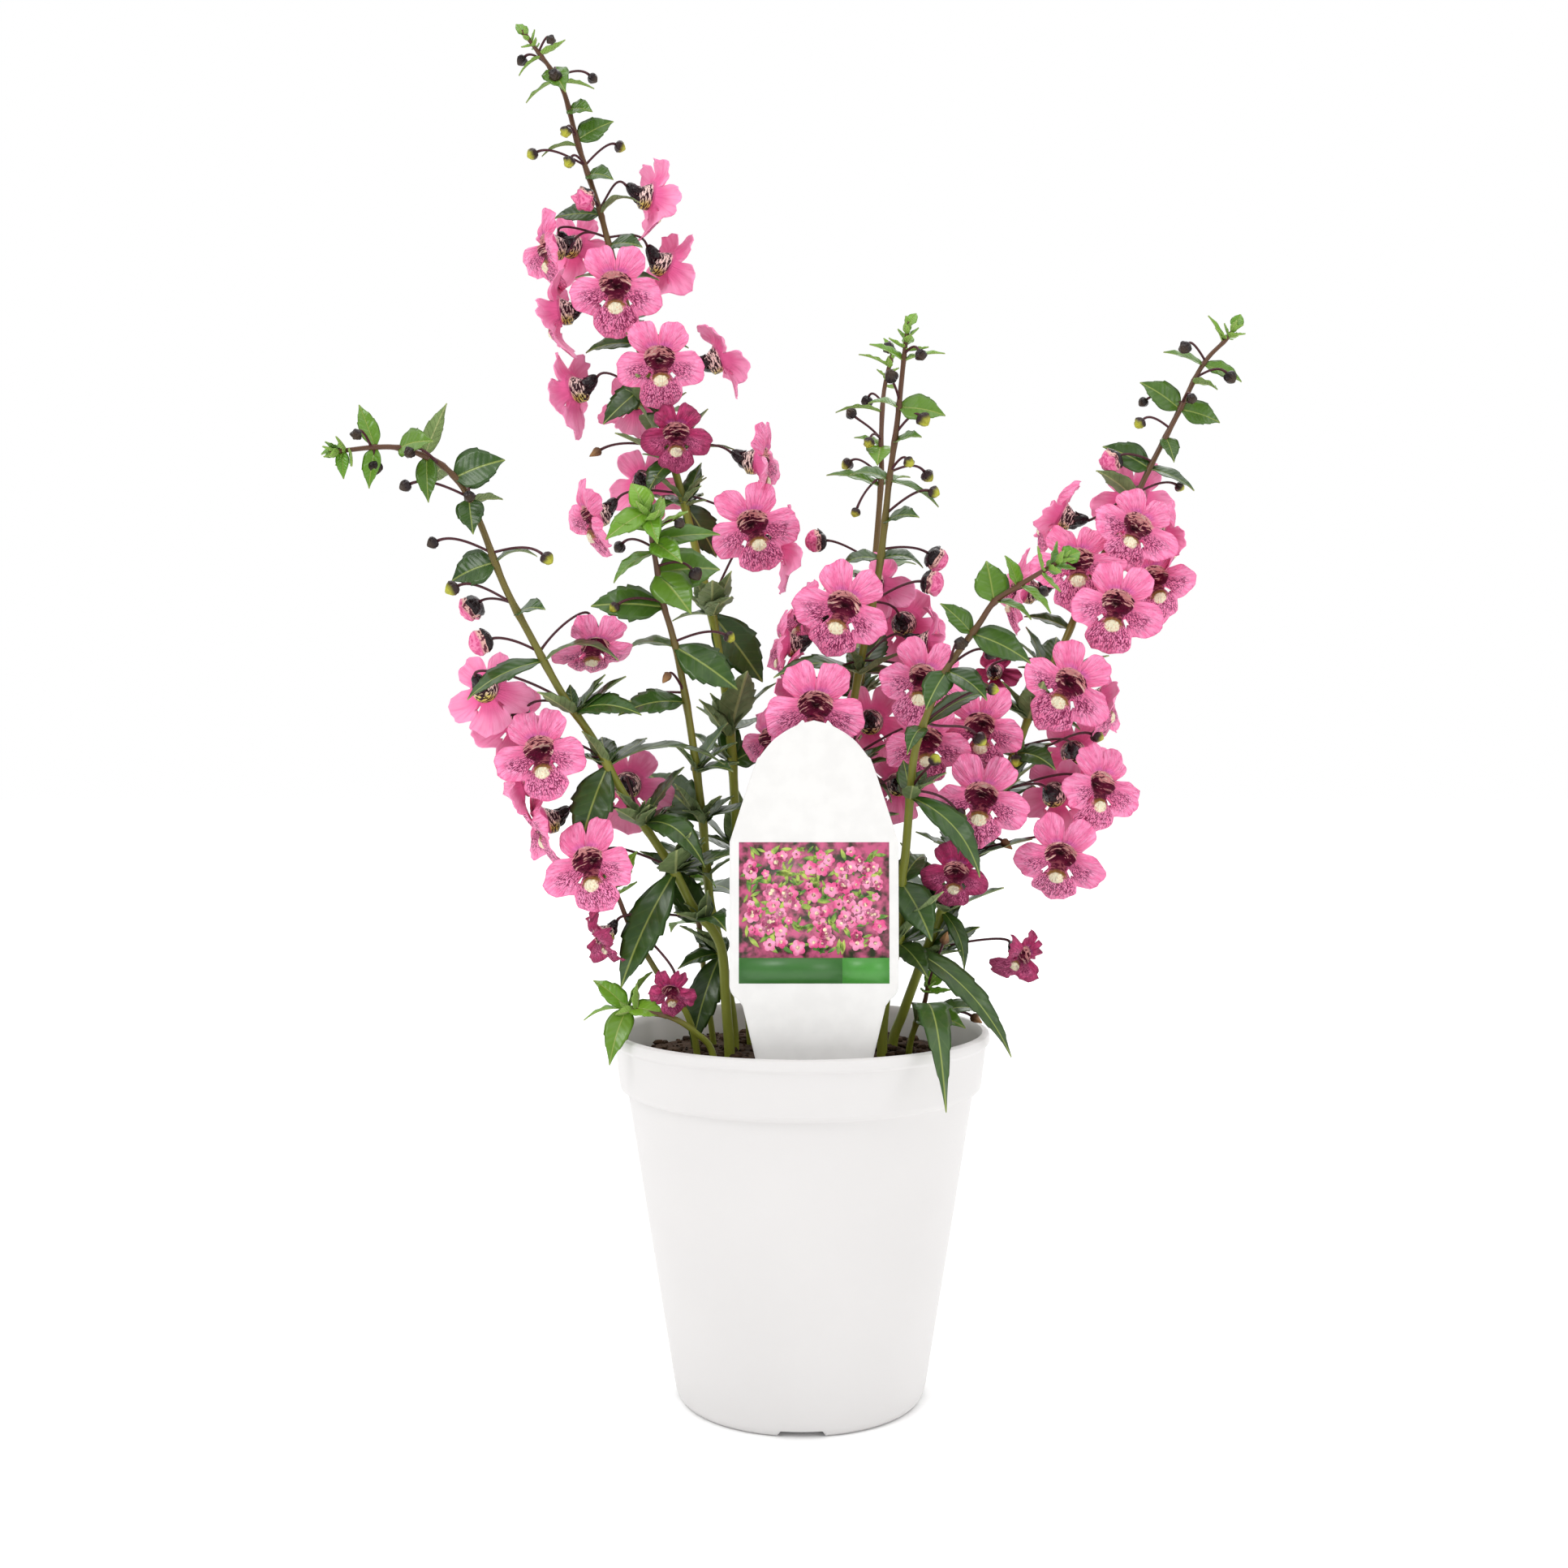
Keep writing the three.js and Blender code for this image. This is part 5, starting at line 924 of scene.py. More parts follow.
def side_tufts(obstacles, key, draw):
    """Small leaves in the joints of the lower half of a stem, where they pass everything else."""
    route = STEMS[key]
    made = []
    for u in joints_of(key):
        along = unit(along_stem(route, u + 0.2) - along_stem(route, u - 0.2))
        low = 1 - u / (len(route) - 1)
        for k in range(SIDE_LEAVES):
            turn, rise = TURN * draw(), math.radians(10 + 50 * draw())
            length = (5 + 6 * draw()) * (0.6 + 1.2 * low) * (LONG_SIDE_LEAF if k < LONG_SIDE_LEAVES else 1)
            level = np.array([math.cos(turn), math.sin(turn), 0])
            leaf = {
                "base": along_stem(route, u + 0.12 * (draw() - 0.5)),
                "chord": (level * math.cos(rise) + np.array([0, 0, 1]) * math.sin(rise)) * length,
                "width": length * (0.32 + 0.1 * draw()), "bend": SIDE_LEAF_BEND,
                "wish": along + level * -0.2 + facing(SIDE_LEAF_LEAN) * 0.4, "u": u,
            }
            if low > 0.5 and obstacles.take(leaf, key):
                made.append(leaf)
    return made


def grow_buds(obstacles):
    draw = drawer(BUD_SEED)
    buds = []
    for key, rows in BUDS.items():
        for x, y, z, kind in rows:
            size = BUD_SIZES[kind] + BUD_SPREADS[kind] * draw()
            centre = np.array([x, y, z], float)
            obstacles.add(centre, size * BUD_REACHES[kind], key)
            buds.append({"stem": key, "centre": centre, "kind": kind, "size": size})
    return buds


def join_bud(obstacles, bud):
    """Gives a bud its stalk, which nods unless the bud stands well above its joint."""
    start = nearest_joint(bud["stem"], bud["centre"])
    away = bud["centre"] - start
    nod = 0 if away[2] > STEEP * np.linalg.norm(away) else BUD_NOD * bud["size"]
    arrive = bud["centre"] - away * 0.3 + np.array([0, 0, nod])
    bud["along"] = unit(bud["centre"] - arrive)
    end = bud["centre"] - bud["along"] * bud["size"] * BUD_SEATS[bud["kind"]]
    bud["controls"] = clear_stalk(obstacles, bud["stem"], start, end, arrive)


def grow():
    """Every flower stalk, bud and leaf of each stem, in its place."""
    obstacles = Obstacles()
    for key, route in STEMS.items():
        obstacles.add([along_stem(route, i / 5) for i in range(5 * (len(route) - 1))], STEM_REACH, key)
    for row in BLOOMS:
        obstacles.add_flower(row)
    buds = grow_buds(obstacles)
    stalks = []
    for row in BLOOMS:
        place = flower_frame(row)
        end = place(STALK_SEAT)
        controls = clear_stalk(obstacles, row[0], nearest_joint(row[0], end), end, place(STALK_ARCH))
        stalks.append({"stem": row[0], "row": row, "controls": controls})
    for bud in buds:
        join_bud(obstacles, bud)
    leaves = {}
    for key, rows in LEAVES.items():
        placed = [place_leaf(obstacles, key, row) for row in rows]
        leaves[key] = [leaf for leaf in placed if leaf]
    draw = drawer(SMALL_LEAF_SEED)
    for key in LEAVES:
        leaves[key] += side_tufts(obstacles, key, draw) + tip_tuft(key, draw)
    return stalks, buds, leaves


# Pot, soil and tag

def notched(radius, z, angle):
    """Height of a place on the pot's foot, which is cut away in four short notches."""
    quarter = math.pi / 2
    aside = abs((angle + quarter / 2) % quarter - quarter / 2)
    inside = NOTCH_INNER < radius < NOTCH_OUTER and radius * math.sin(aside) < NOTCH_WIDTH / 2
    return max(z, FOOT_HEIGHT) if inside else z


def pot_rings():
    """Rings of the pot, with close pairs of columns at the sides of each notch."""
    edge = math.asin(NOTCH_WIDTH / 2 / BASE_RADIUS)
    gap = math.pi / 2 - 2 * edge
    angles = []
    for start in np.arange(4) * math.pi / 2:
        angles += [start + edge * k / 6 for k in range(-6, 6)]
        angles += [start + edge - NOTCH_STEP, start + edge + NOTCH_STEP]
        angles += [start + edge + gap * k / 24 for k in range(1, 24)]
        angles.append(start + math.pi / 2 - edge - NOTCH_STEP)
    rings = []
    for radius, z in POT_PROFILE:
        rings.append([[radius * math.cos(a), radius * math.sin(a), notched(radius, z, a)] for a in angles])
    return rings


def with_holes(piece):
    """Cuts the four drain holes through the pot's floor."""
    cutters = []
    for turn in np.radians([45, 135, 225, 315]):
        centre = (DRAIN_CIRCLE * math.cos(turn), DRAIN_CIRCLE * math.sin(turn))
        points, faces = lofted([circle(DRAIN_RADIUS, z, full_turn(28), centre) for z in (-2, 8)])
        mesh = bpy.data.meshes.new("cutter")
        mesh.from_pydata((points * MM).tolist(), [], faces)
        cutters.append(linked("cutter", mesh))
        cut = piece.modifiers.new("hole", "BOOLEAN")
        cut.operation, cut.solver, cut.object = "DIFFERENCE", "EXACT", cutters[-1]
    graph = bpy.context.evaluated_depsgraph_get()
    drilled = bpy.data.meshes.new_from_object(piece.evaluated_get(graph))
    piece.modifiers.clear()
    piece.data = drilled
    for cutter in cutters:
        bpy.data.objects.remove(cutter)


def make_pot(material):
    skin = Skin()
    skin.solid(pot_rings())
    piece = skin.piece("pot_body", [material], "pot", "pot")
    with_holes(piece)
    piece.data.set_sharp_from_angle(angle=math.radians(38))


def soil_height(x, y):
    r = math.hypot(x, y)
    level = SOIL_MIDDLE + DOME_HEIGHT * math.exp(-((r - DOME_RADIUS) / DOME_WIDTH) ** 2)
    level -= EDGE_DROP * max(0, (r - EDGE_START) / EDGE_WIDTH) ** 2
    for scale, layer, height in SOIL_WAVES:
        level += height * noise.noise(Vector((x * scale, y * scale, layer)))
    return level


def make_soil(material):
    """Potting soil with a low dome, and loose crumbs on it."""
    skin = Skin()
    angles = full_turn(96)
    rings = [circle(radius, z, angles) for radius, z in SOIL_SIDE]
    for radius in SOIL_RINGS:
        rings.append([[x, y, soil_height(x, y)] for x, y, _ in circle(radius, 0, angles)])
    skin.solid(rings)
    draw = drawer(CRUMB_SEED)
    for _ in range(CRUMBS):
        radius, angle = CRUMB_CIRCLE * math.sqrt(draw()), 2 * math.pi * draw()
        size = 0.35 + 1.1 * draw() ** 3
        x, y = radius * math.cos(angle), radius * math.sin(angle)
        add_crumb(skin, np.array([x, y, soil_height(x, y) + size * 0.35]), size, draw)
    skin.piece("potting_soil", [material], "soil", "soil")


def add_crumb(skin, centre, size, draw):
    stretch = np.array([0.8 + 0.6 * draw(), 0.8 + 0.6 * draw(), 0.55 + 0.4 * draw()])
    turn = PHASE * draw()
    rings = []
    for level, wide in ((-0.75, 0.62), (-0.1, 1), (0.6, 0.7)):
        ring = []
        for k in range(6):
            r = wide * (0.8 + 0.4 * draw())
            ring.append([r * math.cos(k * 1.047 + turn), r * math.sin(k * 1.047 + turn), level])
        rings.append(np.array(ring) * stretch * size + centre)
    skin.solid(rings, 0, draw())


def on_tag(x, height, depth):
    """A place on the tag, where depth is in front of the middle of the plate."""
    s, c = math.sin(TAG_LEAN), math.cos(TAG_LEAN)
    return TAG_FOOT + np.array([x, height * s - depth * c, height * c + depth * s])


def tag_outline(inset):
    """The tag's outline, drawn in by an inset, from the foot up its right side and down its left."""
    rows = np.vstack([TAG_STAKE, TAG_SHOULDER, smooth_path(TAG_HEAD, 6)])
    right = [[min(max(half - inset, 0.02), TAG_HALF_WIDTH), h] for h, half in rows[:-1]]
    outline = right + [[0, TAG_HEIGHT - inset]] + [[-x, h] for x, h in reversed(right)]
    return [[x, max(inset, h)] for x, h in outline]


def make_tag(materials):
    """The plate with its prints: a flower bed over two green bands."""
    skin = Skin()
    skin.solid([[on_tag(x, h, depth) for x, h in tag_outline(inset)] for inset, depth in TAG_EDGE])
    edge = PRINT_HALF_WIDTH
    for left, right, low, high, paint in (
        (-edge, edge, BED_LOW, BED_HIGH, PRINT_GROUND),
        (-edge, BAND_SPLIT, BAND_LOW, BED_LOW, BAND_DARK), (BAND_SPLIT, edge, BAND_LOW, BED_LOW, BAND_LIGHT),
    ):
        corners = [[left, low], [right, low], [right, high], [left, high]]
        add_print(skin, corners, TAG_THICKNESS / 2, 0.05, paint)
    draw = drawer(MOTIF_SEED)
    for _ in range(LEAF_MOTIFS):
        x, height = -18.4 + 36.8 * draw(), 47.4 + 27.4 * draw()
        add_leaf_motif(skin, x, height, min(1.2 + 1.2 * draw(), edge - abs(x)), 6.28 * draw())
    for _ in range(FLOWER_MOTIFS):
        x, height = 35.6 * (draw() - 0.5), 61 + 26 * (draw() - 0.5)
        add_flower_motif(skin, x, height, 1.1 + 1.1 * draw(), 1.26 * draw())
    skin.piece("plant_tag", materials, "tag", "tag")


def add_print(skin, corners, depth, thickness, paint):
    """A thin print on the tag's front."""
    skin.solid([[on_tag(x, h, d) for x, h in corners] for d in (depth - 0.03, depth + thickness)], paint)


def add_flower_motif(skin, x, height, size, turn):
    angles = full_turn(40)
    reach = size * (0.72 + 0.28 * np.abs(np.cos(2.5 * angles)))
    corners = [[x + r * math.sin(a + turn), height + r * math.cos(a + turn)] for r, a in zip(reach, angles)]
    add_print(skin, corners, 0.46, 0.05, PRINT_FLOWER)
    core = 0.27 * size
    middle = [[x + core * math.sin(a), height + core * math.cos(a)] for a in full_turn(14)]
    add_print(skin, middle, 0.52, 0.04, PRINT_CENTRE)


def add_leaf_motif(skin, x, height, size, turn):
    s = np.linspace(0, 1, 9)
    half = 0.3 * size * np.sin(math.pi * s)
    lengths = size * (2 * s - 1)
    outline = list(zip(lengths, half)) + list(zip(lengths[-2:0:-1], -half[-2:0:-1]))
    c, w = math.cos(turn), math.sin(turn)
    add_print(skin, [[x + a * c - b * w, height + a * w + b * c] for a, b in outline], 0.46, 0.03, PRINT_LEAF)


# Flowers

def petal_rim(index):
    """The rim of one flower: the drawn half, its mirror, and a small change of every point."""
    draw = drawer(PETAL_SEED + index * PETAL_SEED_STEP)
    other = [[360 - angle, r, z] for angle, r, z in PETAL_RIM[-2:0:-1]]
    rim = []
    for angle, r, z in PETAL_RIM + other:
        radius = FLOWER_SIZE * r * (0.96 + 0.08 * draw())
        rim.append(polar(angle, radius, z + PETAL_WAVE * (draw() - 0.5)))
    return rim


class Petals:
    """The rim of one flower in five lobes, and how its petals bow, lean and ripple."""

    def __init__(self, index, aged):
        rim = petal_rim(index)
        parts = []
        for start, stop in zip(LOBE_STARTS, LOBE_STARTS[1:] + [len(rim)]):
            corners = [rim[k % len(rim)] for k in range(start, stop + 1)]
            parts.append(smooth_path(corners, COLUMNS_PER_STEP)[:-1])
        self.edge = np.vstack(parts)
        self.columns = len(self.edge)
        self.lobe = np.repeat(range(5), [len(part) for part in parts])
        share = np.concatenate([np.arange(len(part)) / len(part) for part in parts])
        self.place = self.lobe + share
        self.angle = np.arctan2(self.edge[:, 0], self.edge[:, 1])
        self.middle = np.sin(math.pi * share)
        self.draw = drawer(FLOWER_SEED + FLOWER_SEED_STEP * index)
        _, tilts, twists, folds = (self.one_each() for _ in range(4))
        self.waves = [[2 + 5 * self.draw(), PHASE * self.draw(), 0.5 + self.draw()] for _ in range(5)]
        phases = [phase for _, phase, _ in self.waves]
        ragged = 0.016 * np.sin(17 * self.angle + phases[3]) + 0.008 * np.sin(29 * self.angle + phases[4])
        ragged += 0.025 * np.sin(9 * self.angle + phases[2])
        reach, leaning, self.crumple = AGED_PETALS if aged else FRESH_PETALS
        self.edge[:, :2] *= (reach * (1 + ragged * self.middle ** 0.5))[:, None]
        swell = (0.75 + 0.7 * self.one_each())[self.lobe]
        self.bulge = np.array(LOBE_BULGES)[self.lobe] * swell * self.middle ** 0.7
        tilts = (np.array(LOBE_TILTS) + TILT_SPREAD * (tilts - 0.5))[self.lobe]
        twists = (TWIST_SPREAD * (twists - 0.5))[self.lobe]
        folds = (FOLD_SPREAD * (folds - 0.4))[self.lobe]
        lean = tilts * self.middle + twists * np.sin(2 * math.pi * share)
        self.lean = (lean - folds * np.exp(-((share - 0.5) / FOLD_WIDTH) ** 2)) * leaning

    def one_each(self):
        """One draw for each lobe."""
        return np.array([self.draw() for _ in range(5)])

    def throat_ring(self, radii, z):
        corners = smooth_path([polar(a, r * FLOWER_SIZE, z) for a, r in zip(THROAT_ANGLES, radii)], 40, True)
        return corners[(self.place * 40).astype(int)]

    def ripple(self, p):
        """Height of the small waves at a share of the way from throat to rim."""
        total = np.zeros(self.columns)
        for k, phase, strength in self.waves:
            total += strength * np.sin(k * 3 * self.angle + phase + 3 * p)
        rim = np.sin(self.angle * 19 + self.waves[0][1]) + 0.5 * np.sin(self.angle * 31 + self.waves[1][1])
        pleats = np.sin(self.angle * 17 + self.waves[2][1] + 2 * p)
        total = 0.17 * total * p ** 1.3 + 0.24 * rim * p ** 5 + 0.16 * pleats * math.sin(math.pi * p)
        return self.crumple * total * (0.25 + 0.75 * self.middle)

    def sheet(self, inner, p):
        """The ring at a share of the way from an inner ring to the rim."""
        points = inner + (self.edge - inner) * p
        points[:, 2] += self.bulge * math.sin(math.pi * p ** 0.8) + self.lean * p ** 2.2 + self.ripple(p)
        return points


def flower_rings(petals):
    """Rings from the throat over the petals and their backs to the pouch, each with a mark and paint."""
    lip = petals.throat_ring(THROAT_RADII, THROAT_LIP)
    back = petals.throat_ring(THROAT_BACK_RADII, THROAT_BACK)
    recess = np.array(THROAT_END)
    depth = -recess[2]
    for s in THROAT_ROWS:
        points = recess + (lip - recess) * s
        points[:, 2] = -depth + (depth + THROAT_LIP) * s ** 2.6
        points[:, 2] += 0.3 * np.sin(points[:, 0] * 2.6) * (1 - s) * s * 3
        yield points, s - 1, THROAT
    for p in PETAL_ROWS:
        points = petals.sheet(lip, p)
        far = (points[:, 0] / PAD_WIDTH) ** 2 + ((points[:, 1] - PAD_PLACE) / PAD_HEIGHT) ** 2
        points[:, 2] += PAD_SWELL * np.exp(-far ** 2)
        yield points, p, FRONT
    for p in BACK_ROWS:
        points = petals.sheet(back, p)
        points[:, 2] -= 0.2 + 0.25 * (1 - p)
        yield points, p, BACK
    angles = np.radians(np.interp(petals.place, range(6), THROAT_ANGLES + [360]))
    for z, radius, drop in POUCH_ROWS:
        points = np.column_stack([
            radius * np.sin(angles), radius * np.cos(angles) + drop, np.full(petals.columns, float(z)),
        ])
        yield points, z / 10, POUCH


def with_slits(faces, paint_of, columns):
    """Opens the two slits beside the pad and joins the front to the back round each of them."""
    front = [len(THROAT_ROWS) + PETAL_ROWS.index(p) for p in SLIT_ROWS]
    behind = [len(THROAT_ROWS) + len(PETAL_ROWS) + BACK_ROWS.index(p) for p in SLIT_ROWS]
    left_out, walls = set(), []
    for notch, (first, last) in zip(LOBE_STARTS[2:4], SLIT_COLUMNS):
        start, stop = notch * COLUMNS_PER_STEP + first, notch * COLUMNS_PER_STEP + last
        for rows in (front, behind):
            for i in range(min(rows), max(rows)):
                left_out |= {i * columns + j for j in range(start, stop)}
        loop = [(0, j) for j in range(start, stop)] + [(k, stop) for k in range(len(front) - 1)]
        loop += [(len(front) - 1, j) for j in range(stop, start, -1)]
        loop += [(k, start) for k in range(len(front) - 1, 0, -1)]
        for (i, j), (k, m) in zip(loop, loop[1:] + loop[:1]):
            walls.append([
                front[i] * columns + j, front[k] * columns + m,
                behind[k] * columns + m, behind[i] * columns + j,
            ])
    kept = [k for k in range(len(faces)) if k not in left_out]
    return [faces[k] for k in kept] + walls, [paint_of[k] for k in kept] + [BACK] * len(walls)


def add_flower(skin, row, index, aged):
    """One flower as a closed shell."""
    petals = Petals(index, aged)
    columns = petals.columns
    rings, insides, paints = zip(*flower_rings(petals))
    points, faces = lofted(rings, False)
    faces, paint_of = with_slits(faces, np.repeat(paints[1:], columns).tolist(), columns)
    first, last = len(points), len(points) + 1
    bottom = first - columns
    for j in range(columns):
        k = (j + 1) % columns
        faces += [[first, k, j], [last, bottom + j, bottom + k]]
        paint_of += [THROAT, POUCH]
    marks = np.column_stack([points[:, :2] / FLOWER_SIZE, np.repeat(insides, columns)])
    points = np.vstack([points, THROAT_END, POUCH_END])
    marks = np.vstack([marks, [0, 0.03, -1], [0, 0.06, -0.74]])
    skin.shell(flower_frame(row)(points), faces, paint_of, marks, petals.draw())


# Stems, flower stalks, buds and leaves

def add_stem(skin, key):
    """A stem that thins to its tip and swells at its joints."""
    route = STEMS[key]
    base = STEM_BASE_RADIUS if len(route) > SHOOT_POINTS else SHOOT_BASE_RADIUS
    path = smooth_path(route, STEM_STEPS)
    places = np.arange(len(path)) / STEM_STEPS
    share = places / places[-1]
    radii = (base + (STEM_TIP_RADIUS - base) * share) * STEM_THINNING
    for joint in joints_of(key):
        radii = radii * (1 + JOINT_SWELL * np.exp(-((places - joint) / JOINT_LENGTH) ** 2))
    skin.tube(path, radii, 12, STEM, share)


def add_stalk(skin, controls):
    share = np.linspace(0, 1, 17)
    radii = (1 + 0.35 * np.exp(-share / 0.05) + 0.25 * share ** 8) * STALK_RADIUS
    skin.tube(bezier(controls, share), radii, 8, STALK, share)


def add_calyx(skin, row, shade):
    """The dark five-pointed cup behind a flower."""
    gap = CALYX_GAP / (row[8] / FLOWER_SIZE)
    angles = full_turn(40)
    points_up = np.abs(np.cos(2.5 * angles)) ** 1.4
    rings, marks = [], []
    for i, (radius, z, drop, reach, flare) in enumerate(CALYX_RINGS):
        z -= gap if i >= CALYX_GAP_START else 0
        wide = CALYX_WIDTH * (radius + flare * points_up) * (1 + 0.05 * np.sin(9 * angles + 7 * shade + z))
        ring = np.column_stack([wide * np.sin(angles), wide * np.cos(angles) + drop, z + reach * points_up])
        rings.append(flower_frame(row)(ring))
        share = np.full(len(angles), i / (len(CALYX_RINGS) - 1))
        marks.append(np.column_stack([share, angles / TURN, points_up]))
    points, faces = lofted(rings)
    skin.shell(points, faces, [CUP] * len(faces), np.vstack(marks + [[0, 0, 0], [1, 0, 0]]), shade)


def add_bud(skin, bud, tip_paint, shade):
    """A bud of its kind's form, folded round its axis."""
    form, size, along = BUD_FORMS[bud["kind"]], bud["size"], bud["along"]
    stretch, shift, width = form["scales"]
    places = [a * size * stretch + shift * size for a, _, _ in form["profile"]]
    start = np.array([0, 0, 1.0]) if abs(along[2]) < 0.85 else np.array([1.0, 0, 0])
    side = unit(start - along * np.dot(start, along))
    other = np.cross(along, side)
    sides = form["sides"]
    angles = full_turn(sides)
    rings, marks, paints = [], [], []
    for place, (_, radius, flute) in zip(places, form["profile"]):
        creases = 0.5 - 0.5 * np.cos(form["folds"] * angles + 0.5 * place)
        wide = radius * size * width * (1 - form["depth"] * flute * creases)
        wide = wide * (1 + 0.06 * np.sin(7 * angles + 9 * shade + 2 * place) * flute)
        middle = bud["centre"] + along * place
        rings.append(middle + np.outer(wide * np.cos(angles), side) + np.outer(wide * np.sin(angles), other))
        share = (place - places[0]) / (places[-1] - places[0])
        around = np.arange(sides) / sides
        marks.append(np.column_stack([np.full(sides, share), around, np.full(sides, flute)]))
        paints.append(CUP if share < form["cup"] else tip_paint)
    points, faces = lofted(rings)
    paint_of = np.repeat(paints[1:] + [paints[0], paints[-1]], sides).tolist()
    skin.shell(points, faces, paint_of, np.vstack(marks + [[0, 0, 0], [1, 0, 0]]), shade)


def leaf_stations(kind):
    """Places along a leaf with the half width there, cut into forward teeth toward the tip."""
    curve = smooth_path(LEAF_PROFILES[kind], 5)
    teeth = LEAF_TEETH[kind]
    depth = TOOTH_DEPTH[kind]
    even = np.round(np.linspace(0, 1, LEAF_STEPS[kind]), 3)
    rows = []
    for s in sorted({*even, *teeth, *(tooth + TOOTH_CUT for tooth in teeth)}):
        half = float(np.interp(s, curve[:, 0], curve[:, 1]))
        ahead = [tooth for tooth in teeth if tooth >= s - 1e-6]
        if ahead and s > teeth[0] - TOOTH_LENGTH:
            half *= 1 - depth * 0.5 + depth * (1 - min(1, (ahead[0] - s) / TOOTH_LENGTH))
        elif s > teeth[0]:
            half *= 1 - depth * 0.5
        rows.append([s, half])
    return rows


STATIONS = {kind: leaf_stations(kind) for kind in LEAF_PROFILES}


def add_leaf(skin, leaf, young, draw):
    """A toothed leaf, folded along its rib and waved along its length."""
    kind = leaf_kind(leaf)
    normal, side = leaf_axes(leaf)
    centres = bezier(leaf_curve(leaf, normal), [s for s, _ in STATIONS[kind]])
    shade, phase, waves = draw(), PHASE * draw(), 2 + 2 * draw()
    across = np.concatenate([TOP_ACROSS, UNDER_ACROSS])
    tops, unders = len(TOP_ACROSS), len(UNDER_ACROSS)
    rings, marks = [], []
    for (s, half), centre in zip(STATIONS[kind], centres):
        wide = max(0.16, half * leaf["width"] / 2 * LEAF_FULLNESS[kind])
        fold = min(1.0, wide / 1.5)
        wave = 0.22 * fold * math.sin(waves * 2 * math.pi * s + phase)
        height = -0.2 + (0.5 + wave) * np.abs(across) ** 1.3 * fold
        height[:tops] -= 0.12 * np.exp(-(TOP_ACROSS / 0.1) ** 2) * fold
        rib = 0.2 * np.exp(-(UNDER_ACROSS / 0.12) ** 2) * (1 - 0.6 * s)
        height[tops:] -= 0.1 + 0.16 * (1 - UNDER_ACROSS ** 2) + rib
        rings.append(centre + np.outer(across * wide, side) + np.outer(height, normal))
        marks.append(np.column_stack([np.full(len(across), s), across * half, np.full(len(across), young)]))
    points, faces = lofted(rings)
    ring_paints = [LEAF_TOP] * (tops - 1) + [LEAF_UNDER] * (unders + 1)
    end_paints = [LEAF_UNDER] * len(across) + [LEAF_TOP] * len(across)
    marks = np.vstack(marks + [[0, 0, young], [1, 0, young]])
    skin.shell(points, faces, ring_paints * (len(rings) - 1) + end_paints, marks, shade)


# Materials

class Signal:
    """A value or colour in a material; values add and multiply like numbers."""

    def __init__(self, net, socket):
        self.net, self.socket = net, socket

    def __add__(self, other):
        return self.net.calc("ADD", self, other)

    def __sub__(self, other):
        return self.net.calc("SUBTRACT", self, other)

    def __rsub__(self, other):
        return self.net.calc("SUBTRACT", other, self)

    def __mul__(self, other):
        return self.net.calc("MULTIPLY", self, other)

    def __truediv__(self, other):
        return self.net.calc("DIVIDE", self, other)

    def __abs__(self):
        return self.net.calc("ABSOLUTE", self)

    def smooth(self, low, high):
        """0 below low and 1 above high; the other way round when low is the larger."""
        node = self.net.put("MapRange", {"interpolation_type": "SMOOTHSTEP"}, Value=self)
        ends = (1, 0) if low > high else (0, 1)
        for name, value in zip(("From Min", "From Max", "To Min", "To Max"), (*sorted((low, high)), *ends)):
            node.inputs[name].default_value = value
        return Signal(self.net, node.outputs["Result"])

    def mix(self, a, b):
        """From a to b as this value goes from 0 to 1."""
        node = self.net.put("Mix", {"data_type": "RGBA"})
        for place, value in zip((0, 6, 7), (self, a, b)):
            self.net.wire(node.inputs[place], value)
        return Signal(self.net, node.outputs[2])

    def toward(self, colour, share):
        return share.mix(self, colour)


